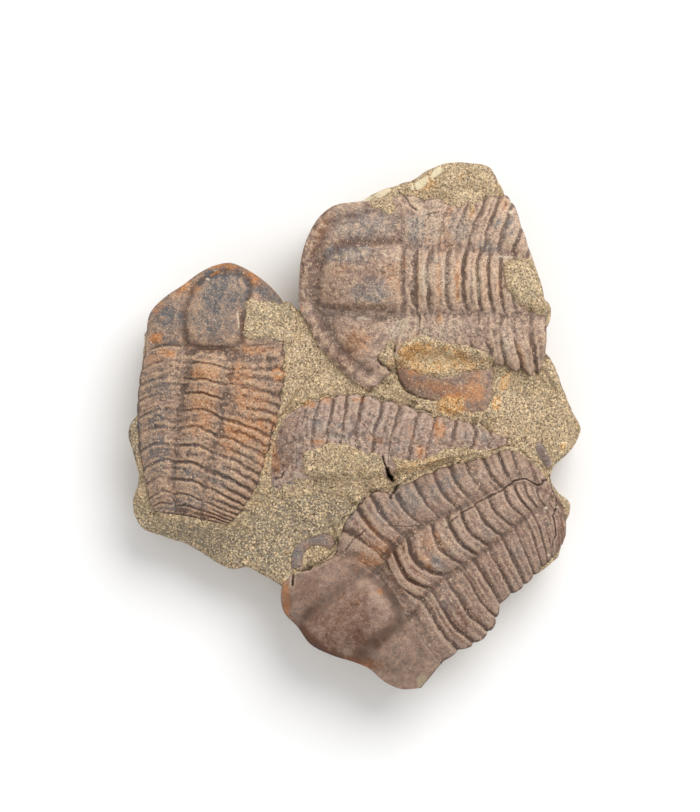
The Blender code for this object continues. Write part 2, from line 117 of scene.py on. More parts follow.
MIDDLE_ROWS = [
    (0, (-9.25, -4.4), [(-9.05, -2.6), (-8.4, -0.5), (-7.5, 1.4)],
     [(-9.3, -5.4), (-9.2, -6.4), (-8.8, -7.3)], 1.6),
    (1, (-6.6, -3.2), [(-6.6, -1.2), (-6.2, 0.6), (-5.5, 2.5)],
     [(-6.8, -4.4), (-6.6, -5.6), (-6.2, -6.7)], 1.8),
    (3, (-3.2, -2.9), [(-3.1, -0.8), (-2.8, 1.2), (-2.4, 3.4)],
     [(-3.3, -4.2), (-3, -5.3), (-2.5, -6.3)], 1.8),
    (5, (0.2, -2.9), [(0.2, -0.8), (0.5, 1.2), (1, 3.6)], [(0.1, -4.2), (0.4, -5.2), (0.9, -6.1)], 1.8),
    (6, (2.1, -3.2), [(2.2, -1.2), (2.6, 0.8), (3.1, 3.05)], [(2, -4.1), (2.2, -5), (2.6, -5.9)], 1.7),
    (7, (3.9, -3.4), [(4, -1.5), (4.5, 0.5), (5.1, 2.6)], [(3.8, -4.1), (4, -4.6), (4.4, -5.2)], 1.6),
    (8, (6, -3.5), [(6.1, -1.8), (6.6, 0), (7.1, 1.85)], [(5.9, -4), (6.1, -4.4), (6.4, -4.8)], 1.5),
    (9, (8, -3.4), [(8.2, -2), (8.7, -0.4), (8.9, 1.25)], [(7.9, -3.8), (8, -4), (8.2, -4.3)], 1.3),
    (10, (10.3, -3), [(10.6, -1.9), (11, -0.6), (11, 0.85)],
     [(10.2, -3.2), (10.2, -3.4), (10.3, -3.6)], 1.1),
    (11, (12.8, -2.6), [(13.2, -1.8), (13.4, -0.7), (13, 0.35)],
     [(12.7, -2.8), (12.7, -3), (12.8, -3.2)], 0.9),
    (12, (14.9, -2.2), [(15.2, -1.7), (15.2, -1.2), (14.8, -0.45)],
     [(14.9, -2.4), (14.9, -2.5), (15, -2.7)], 0.7),
    (13, (17, -1.6), [(17.1, -1.45), (17.1, -1.3), (17, -1.1)], [(17, -1.7), (17, -1.8), (17, -1.95)], 0.4),
]
LOWER_ROWS = [
    (0, (-4.9, -24.2),
     [(-6.4, -22.2), (-7.8, -20.7), (-8.2, -18.8), (-7.9, -17.4), (-7, -16.6), (-5.6, -16.2)],
     [(-2.6, -25.4), (0.2, -26.3), (1.6, -26.9), (3.2, -28.3), (5.2, -29.2), (7.4, -29.1)], 3.2),
    (1, (4.3, -18.6), [(2.4, -16.4), (0.2, -15.1), (-2.4, -14.3)],
     [(5.6, -20.8), (7.2, -23.2), (8.4, -24.9), (9.7, -26.4)], 3.2),
    (2, (5, -17.3), [(3.2, -14.6), (1.2, -12.9), (-0.2, -12), (-1.6, -11.6)],
     [(7.2, -19.2), (8.5, -20.9), (9.8, -23), (11.8, -25)], 3.1),
    (3, (6, -16), [(4.2, -13.4), (2.6, -12), (1.2, -10.6), (0.1, -9)],
     [(8.6, -18.5), (9.6, -20), (10.9, -22.1), (13.5, -24.2)], 3.1),
    (4, (7.3, -14.9), [(5.6, -12.2), (4.2, -11.1), (2.8, -9.6), (1.6, -7.4)],
     [(10.1, -17.1), (11.2, -18.5), (12.7, -20.9), (15.1, -22.9)], 3.2),
    (5, (9.5, -13.5), [(7.8, -10.9), (6.5, -10.2), (5.2, -8.8), (4.1, -7.1)],
     [(11.7, -15.9), (12.8, -17.3), (14, -19.4), (15.9, -21.4)], 3.1),
    (6, (11.2, -12.5), [(9.5, -10), (8.4, -9), (7.3, -7.6), (6.5, -5.9)],
     [(13.2, -14.9), (14.4, -16.5), (15.3, -18.1), (16.3, -19.9)], 2.9),
    (8, (14.7, -10.4), [(12.7, -7.8), (11.8, -6.9), (11, -5.6), (10.4, -4.3)],
     [(16.2, -12.3), (17.3, -14.2), (18.2, -16), (19, -17.7)], 2.5),
    (10, (17.5, -8.5), [(15.8, -6.2), (15.1, -5.4), (14.6, -4.4), (14.2, -3.5)],
     [(18.8, -10.2), (19.7, -12), (20.3, -13.9), (20.9, -15.7)], 2.1),
    (12, (19.7, -7.7), [(18.5, -5.6), (18.1, -4.7), (17.7, -3.5), (17.4, -2.6)],
     [(20.4, -9.1), (21.2, -11), (21.7, -12.9), (22, -14.7)], 1.6),
    (14, (22, -8.6), [(21.8, -7.6), (21.6, -6.8), (21.3, -6), (20.9, -5.2)],
     [(22.5, -10.2), (22.8, -11.8), (23, -13.4)], 0.8),
    (15, (23.4, -9.9), [(23.2, -9.2), (23, -8.6), (22.7, -7.9), (22.3, -7.3)],
     [(23.5, -10.6), (23.5, -11.4), (23.5, -12.2)], 0.5),
]
# Everything about one trilobite's form.
# heights: row, then the heights of the axis, of the furrow beside it and of the right and left edge
# arch: rise of the side lobes, right and left. crown: how sharply the axis is domed
# rings: rows at which furrows cross the axis. ring_bulge: how far the rings bow forward, in rows
# ring_depths and rib_depths: row and depth, for the ribs right and left
# profile: part of a ring and of a rib that its front slope takes. waver: how crooked they are, in rows
# split: depth of the furrow along the middle of a rib, right and left
# scallop: part of a rib's length that its edge draws in beside its tip, right and left
# glabella: outline. dome: its rise, the width of its shoulder and its sharpness. moat: depth and width
# rim: width, rise and furrow of the head's border. neck: row at which the head begins to pass into the body
# soft: cells that the head is evened out over. rough: height of the lumps. grit: on the head and behind it
# band: a border at the rear that has no ribs
TRILOBITES = {
    "upper": {
        "rows": UPPER_ROWS,
        "heights": [
            (0, 9.3, 9.3, 9.2, 9.1), (0.4, 10.8, 10.8, 9.9, 9.6), (1, 12, 11.2, 10.3, 10),
            (5, 12.4, 11.3, 10.4, 10.2), (8, 12.2, 11.2, 10.2, 9.7), (10, 11.2, 10.6, 9.9, 9.3),
        ],
        "ring_depths": [(1, 0.3), (2, 0.45), (4, 0.56), (5, 0.68), (7, 0.46), (10, 0.3)],
        "rib_depths": [
            (1, 0.12, 0.06), (4, 0.22, 0.1), (5.5, 0.45, 0.15), (7, 0.5, 0.38), (8.5, 0.4, 0.62),
            (10, 0.1, 0.7),
        ],
        "glabella": [
            (6.2, 20.3), (3.5, 20.5), (1, 20.6), (-1, 20.2), (-2.7, 19.3), (-3.9, 17.9), (-4.4, 16.3),
            (-4.4, 14.9), (-3.8, 13.7), (-2.3, 12.9), (0, 12.6), (2.5, 12.5), (6.2, 12.4),
        ],
        "arch": (0.4, 0.45), "rings": [1, 1.45, 2.58, 3.8, 4.85, 5.8, 6.5, 7.3, 8.2, 9.1], "ring_bulge": 0.36,
        "profile": (0.42, 0.5), "split": (0.12, 0.12), "scallop": (0.05, 0.12), "dome": (1.6, 3.4, 1),
        "moat": (0.42, 0.55), "rim": (1.35, 0.3, 0.6), "grit": (0.9, 0.9), "waver": 0.16, "soft": 5,
        "crown": 1, "rough": 0.16, "neck": 0.9,
    },
    "left": {
        "rows": LEFT_ROWS,
        "heights": [
            (0, 8.6, 8.6, 8.7, 8.4), (0.4, 10.4, 10.3, 9.6, 9), (1, 11.5, 10.8, 9.8, 9),
            (6, 11.9, 11.05, 9.8, 9), (10, 11.4, 10.75, 9.6, 8.8), (12, 10.2, 9.8, 9.2, 8.5),
        ],
        "rings": [1.05, 2.05, 3.05, 4.05, 5.05, 6.05, 7.05, 8.05, 9.05, 10.05, 11.05],
        "rib_depths": [(1, 0.15, 0.1), (2, 0.22, 0.1), (6, 0.36, 0.16), (10, 0.42, 0.25), (12, 0.36, 0.2)],
        "glabella": [
            (-18.4, 9.3), (-18.8, 11), (-18.6, 13.5), (-17.9, 15.2), (-16.7, 16.5), (-15, 17.2), (-13.4, 17.2),
            (-12.1, 16.6), (-11.6, 15.3), (-12, 13.4), (-12.5, 11), (-12.7, 9.5), (-13.6, 8.8), (-15.2, 8.5),
            (-17.1, 8.7),
        ],
        "arch": (0.4, 0.55), "ring_depths": [(1, 0.3), (2, 0.32), (6, 0.36), (9, 0.36), (12, 0.25)],
        "ring_bulge": 0.12, "profile": (0.2, 0.24), "split": (0.6, 0.2), "scallop": (0.05, 0.02),
        "dome": (1.1, 3, 0.8), "moat": (0.22, 0.35), "rim": (0.8, 0.04, 0.06), "grit": (0.7, 1), "waver": 0.2,
        "soft": 3, "crown": 1.5, "rough": 0.1, "neck": 0.95,
    },
    "middle": {
        "rows": MIDDLE_ROWS,
        "heights": [
            (0, 9.2, 9.2, 9.2, 8.9), (1, 10.1, 10, 9.2, 9), (5, 10.3, 10.25, 9.2, 9), (9, 10, 9.98, 9, 9.1),
            (13, 9, 9, 8.8, 8.9),
        ],
        "rib_depths": [
            (1, 0, 0), (2, 0.2, 0.1), (3, 0.32, 0.2), (7, 0.42, 0.2), (10, 0.42, 0.2), (12, 0.3, 0.1),
        ],
        "arch": (0.2, 0.1), "rings": [1, 2, 3, 4, 5, 6, 7, 8, 9, 10, 11, 12],
        "ring_depths": [(1, 0), (2, 0.16), (5, 0.26), (9, 0.28), (13, 0.12)], "ring_bulge": 0.06,
        "profile": (0.38, 0.38), "split": (0.12, 0.1), "scallop": (0.07, 0), "glabella": None,
        "rim": (0.8, 0, 0), "grit": (1, 0.9), "waver": 0.14, "soft": 4, "crown": 1, "rough": 0.22, "neck": 0.9,
    },
    "lower": {
        "rows": LOWER_ROWS,
        "heights": [
            (0, 8.5, 8.5, 8.6, 8.5), (0.4, 10.4, 10.3, 9.5, 9), (1, 11.8, 10.9, 9.5, 9),
            (5, 12.2, 10.9, 9.4, 8.8), (10, 11.5, 10.5, 9.2, 8.7), (15, 9.3, 9.2, 9, 8.7),
        ],
        "rings": [1, 2.05, 2.95, 4.1, 5.3, 6.35, 7.15, 8.1, 9.05, 10.15, 11.1, 12, 13, 14],
        "ring_depths": [(1, 0.25), (2, 0.4), (4, 0.62), (6, 0.43), (10, 0.33), (13, 0.2), (15, 0.08)],
        "rib_depths": [
            (1, 0.15, 0.1), (2, 0.4, 0.3), (4, 0.42, 0.42), (8, 0.35, 0.36), (11, 0.25, 0.26), (14, 0.1, 0.12),
        ],
        "glabella": [
            (2.9, -16.2), (4.3, -17.6), (5.2, -19.2), (5.3, -20.9), (4.5, -22.3), (3.1, -23.5), (1.3, -24.9),
            (-0.4, -26.6), (-4, -27), (-6.4, -24.4), (-6.4, -22.2), (-4.9, -20.6), (-3.1, -19.2),
            (-1.6, -17.6), (0.5, -16.5),
        ],
        "band": [
            (22.2, -8.4), (22.4, -10), (22.4, -12), (21.6, -13.6), (21.2, -16), (25, -16), (25, -8),
        ],
        "arch": (0.4, 0.5), "ring_bulge": 0.35, "profile": (0.44, 0.5), "split": (0.1, 0.14),
        "scallop": (0.04, 0.04), "dome": (2.4, 4.3, 1), "moat": (0.36, 0.85), "rim": (1.2, 0.05, 0.06),
        "grit": (0.2, 0.75), "waver": 0.12, "soft": 6, "crown": 0.9, "rough": 0.1, "neck": 0.8,
    },
}
SLAB_OUTLINE = [
    (-6.3, 13.2), (-6.15, 16), (-5.9, 18.5), (-5.2, 21), (-4.2, 23), (-3, 24.3), (0, 25.1), (4, 26.6),
    (6, 27.2), (9, 28.9), (10.5, 29.35), (12, 29.35), (15.2, 28.7), (16, 27), (17.2, 25.4), (18.2, 23.8),
    (19.1, 20.5), (20.3, 17.5), (20.8, 15.5), (21.9, 12.6), (21.3, 9.3), (22.5, 6), (24.4, 1.4), (25.2, -0.3),
    (24.9, -1.4), (23.4, -3.4), (21.9, -4.9), (21.9, -5.7), (22.6, -7), (24, -8.7), (23.75, -11),
    (22.9, -14.3), (20.8, -16.3), (18.3, -18.1), (16.3, -20), (15.4, -22.4), (13.4, -24.3), (10.9, -25.5),
    (9.2, -27.3), (7.7, -28.9), (6.3, -29.35), (5, -29.1), (2, -27.3), (0, -26.3), (-3.3, -25.1),
    (-5.8, -22.9), (-8.1, -20.3), (-8.3, -17.8), (-10.5, -16.4), (-11.8, -15.6), (-13.8, -15.9),
    (-15.7, -14.9), (-18.3, -13.3), (-21.5, -12.2), (-23.8, -11.2), (-24.6, -8), (-24, -6.2), (-24.5, -3.2),
    (-25.2, -0.4), (-24.4, 1.2), (-23.8, 7.3), (-23, 12), (-21.5, 14.2), (-18.7, 16), (-16, 17.7),
    (-13.6, 18.2), (-11, 16.8), (-8.8, 15),
]
# Heights of the bare rock: mean height, then place, reach and rise of each swell
ROCK_Z = 8.5
ROCK_SWELLS = [
    (10, 27.5, 6, 1.6), (20.5, 15.5, 4.5, 1.6), (18, 3, 5, 0.5), (-17, -13.5, 6, -1.9), (-24, -10, 3, -0.9),
    (-4, 9, 5, 0.25), (-6, -10.5, 4.5, 0.35), (15, -25, 6, -0.8), (24.5, -1, 3, -1), (-24.5, -1, 2.5, -0.6),
    (-8, -19, 3, -0.8), (1, -5, 4, 0.7), (8, -4.2, 4, 0.5),
]
# Loose bits of shell: height of the edge, rise of the middle, outline
LOOSE_BITS = {
    "cheek_fragment": (9, 0.4, [
        (4.6, 7.4), (4.7, 6.2), (5.2, 5), (6, 4), (7.4, 3.3), (9.2, 2.9), (10.8, 2.4), (12.2, 1.8),
        (13.4, 1.6), (14.5, 1.9), (15.2, 2.8), (15.3, 4.6), (15.2, 6.9), (13.4, 7.2), (11.6, 7.2), (9.6, 7.3),
        (7.4, 7.4),
    ]),
    "shell_band": (8.6, 0.35, [
        (-7, -15.8), (-6.9, -14.2), (-6, -12.9), (-4.4, -12.2), (-2.6, -12.2), (-2.1, -13), (-2.8, -13.7),
        (-3.6, -13.3), (-4.8, -13.4), (-5.7, -14.2), (-5.9, -15.6),
    ]),
    "shell_sliver": (8.3, 0.25, [
        (20.1, -2.1), (20.5, -1.7), (21, -2.2), (21.6, -3.2), (22, -4.3), (21.6, -4.6), (20.9, -3.9),
        (20.3, -2.9),
    ]),
}
# How far the rock lies below each trilobite's edge
EDGE_DROPS = {"upper": 0.4, "left": -0.05, "middle": -0.15, "lower": -0.05}
# Films of rock left on the shells: thickness, outline
FILMS = {
    "rear": (0.5, [
        (16.6, 18.4), (17.2, 18.6), (19.2, 18.7), (20.1, 18.3), (22, 13), (21.6, 12.5), (20.2, 12.3), (19, 13),
        (18, 13.6), (17.4, 14.4), (16.8, 15.3), (16.6, 16.6),
    ]),
    "cheek": (0.15, [
        (1.5, 24.7), (2.4, 24.1), (3.3, 23.8), (4, 23.6), (4.4, 24.3), (4.2, 25.2), (4.4, 26.4), (1.9, 25.8),
    ]),
    "top": (0.2, [
        (9.6, 24.8), (10.8, 24.3), (11.6, 24.1), (12.4, 24.9), (12.9, 23.6), (13.4, 24.6), (14.2, 25.2),
        (14.6, 25.8), (13.6, 26.4), (10.5, 26.4),
    ]),
    "wedge": (0.25, [
        (2.7, 7.7), (3.4, 8.9), (4.2, 10), (4.6, 8.2), (4.9, 6.6), (4.1, 6.3), (3, 6.9),
    ]),
    "sandy": (0.3, [
        (4.9, 9), (5.6, 9.6), (7, 9.9), (8.6, 9.9), (10, 9.4), (12, 9), (13.2, 8.7), (14.3, 8.3), (15.4, 7.6),
        (15.2, 6.5), (14, 6.3), (11.9, 5.9), (10.2, 5.6), (8.5, 5.5), (7, 5.9), (5.9, 6.4), (5, 6.8),
    ]),
    "left_cheek": (0.25, [
        (-12.1, 13.9), (-10.8, 14.1), (-9.5, 13.9), (-8.5, 13.6), (-7, 13.4), (-6.4, 12.6), (-6.2, 10.6),
        (-6.8, 9.4), (-8, 9.2), (-9, 9.5), (-9.6, 9.9), (-10.4, 9.9), (-11.2, 9.6), (-12.1, 9.8), (-12.4, 11),
        (-12.2, 12.6),
    ]),
    "middle": (0.25, [
        (-5.8, -3.2), (-5, -2.6), (-4.4, -2.6), (-3.2, -1.8), (-1.5, -1.9), (0, -2.3), (1.2, -2.8), (2.8, -3),
        (3.2, -3.9), (3.3, -5.2), (3.9, -6.4), (2.6, -7), (1, -7.3), (-1, -7.8), (-3, -7.6), (-4.6, -6.9),
        (-4.3, -6), (-5.7, -5),
    ]),
    "heel": (0.08, [
        (-9, -6.6), (-8.3, -6.9), (-7.9, -6.2), (-7.2, -6.6), (-6.6, -5.7), (-5.3, -5.7), (-4.4, -6.1),
        (-3.9, -7.3), (-5.6, -7.9), (-7.4, -7.9), (-8.9, -7.8),
    ]),
    "grains": (0.1, [
        (9.6, 3.3), (10.3, 3.6), (11.2, 3.3), (12, 3.5), (12.2, 2.6), (11.9, 1.9), (12.3, 1.3), (11, 1.6),
        (9.9, 2.1), (9.2, 2.6),
    ]),
    "strip": (0.12, [
        (4.1, -3.5), (5.6, -3.5), (7, -3.75), (8.4, -3.4), (9.3, -2.8), (10.6, -2.2), (12, -2.3), (13.8, -2.7),
        (15.4, -2.6), (15.2, -3), (13.2, -3.7), (11, -4.2), (9.4, -4.2), (7.4, -5), (5.4, -6.1), (4.7, -5.4),
        (4.5, -4.6),
    ]),
}
# Cracks in shells and in bare rock: half width, depth, route
CRACKS = [
    (0.09, 0.35, [(4.2, 26.3), (5, 25.9), (5.5, 25.6), (6, 25), (6.2, 24.5), (6.9, 24)]),
    (0.06, 0.15, [(8.2, 23.7), (9.4, 23.7)]),
    (0.07, 0.25, [(7, 12.5), (7.3, 12), (7.1, 10.8), (6.9, 10.2)]),
    (0.13, 0.6, [(2.6, 7.6), (2.65, 7.3), (3, 6.9), (3.6, 6.6), (3.95, 6.2)]),
    (0.12, 0.55, [(4.4, 9), (4.5, 7.8), (4.6, 6.5), (5, 5), (5.8, 3.9), (7.2, 3.2), (9, 2.8)]),
    (0.07, 0.35, [
        (-8.6, 1), (-7, 2), (-6, 2.6), (-5, 3), (-4, 3), (-3.3, 3.6), (-2, 3.4), (-1.7, 3.7), (-1, 3.4),
        (0, 3.7), (1.2, 3.4), (2.2, 3.5), (3, 3.1),
    ]),
    (0.07, 0.45, [(3, 3.1), (4, 2.9), (5, 2.5), (6, 2.4), (6.6, 2), (7, 1.9), (7.6, 1.9), (8.5, 1.5)]),
    (0.1, 0.7, [(4, 2.9), (4.9, 2.6)]),
    (0.09, 0.7, [(6, 2.35), (6.5, 2.1)]),
    (0.09, 0.7, [(7.9, 1.75), (8.6, 1.45)]),
    (0.06, 0.3, [(9, 1.1), (9.7, 1.2), (10.5, 1)]),
    (0.06, 0.3, [(12.1, 0.8), (13, 0.3), (14, 0.4)]),
    (0.11, 0.6, [(14, 0.4), (14.6, -0.1), (15.2, -0.7)]),
    (0.24, 0.3, [(20.6, 6.3), (21.4, 5.8), (22.3, 4.2)]),
    (0.05, 0.15, [(-1, 2.6), (0.2, 1.1), (1.2, 0), (2.1, -1.2)]),
    (0.07, 0.8, [(3.1, -3.3), (3.3, -4), (3.6, -4.8), (3.9, -5.4), (4.4, -6)]),
    (0.2, 1.8, [(3.6, -4.7), (3.75, -5.4), (4.1, -5.7)]),
    (0.12, 0.7, [(4.8, -6.5), (4.4, -7.2), (4, -7.9)]),
    (0.07, 0.3, [(-9, 0.5), (-9.45, -1.5), (-9.6, -3.4), (-9.8, -5.4)]),
    (0.09, 0.5, [(-6.7, -16.1), (-5.3, -15.9), (-4.6, -15.4), (-3.5, -14.9), (-3, -14.6), (-2.3, -14)]),
    (0.12, 0.5, [(-6.7, -16.2), (-7, -17.5)]),
    (0.08, 0.3, [
        (10.1, -11.2), (10.7, -10.7), (11.8, -9.6), (13, -9.1), (13.6, -8.4), (15, -7.7), (16.5, -7),
        (17.6, -6), (19, -5.8), (20.3, -6.5), (21.5, -5.7),
    ]),
    (0.06, 0.2, [(-1.1, -13.7), (0, -12.3), (1.2, -11.3)]),
    (0.05, 0.15, [(3, -10.9), (5, -11.1), (7.5, -11)]),
    (0.09, 0.3, [(21.6, -5.8), (22.2, -7.5), (22.5, -8.7), (22.1, -10), (22.3, -12), (21.8, -13.3)]),
    (0.13, 0.25, [
        (-8.6, -6.8), (-8, -8), (-7.3, -9), (-6.5, -10), (-5.5, -10.7), (-4.5, -11.3), (-3, -12),
        (-2.5, -12.3),
    ]),
    (0.07, 0.3, [(-8.8, -5.9), (-8.2, -5.6), (-7.8, -4.9)]),
    (0.08, 0.4, [
        (-2, -13.5), (-2, -11.5), (-1.3, -10.3), (-0.3, -9.6), (0, -8.8), (0.9, -8.6), (1.2, -8), (1.6, -7.4),
        (2, -7.4), (3.3, -7), (4, -7.8),
    ]),
    (0.08, 0.35, [(4.7, -6.9), (5.3, -6.4), (6.5, -5.7), (7.5, -5.1), (8.7, -4.7), (9.5, -4.3), (10, -4.1)]),
    (0.07, 0.3, [(17.5, -2.2), (18.5, -2.6), (19.5, -3.6), (20.5, -4.3), (21.6, -4.9)]),
]
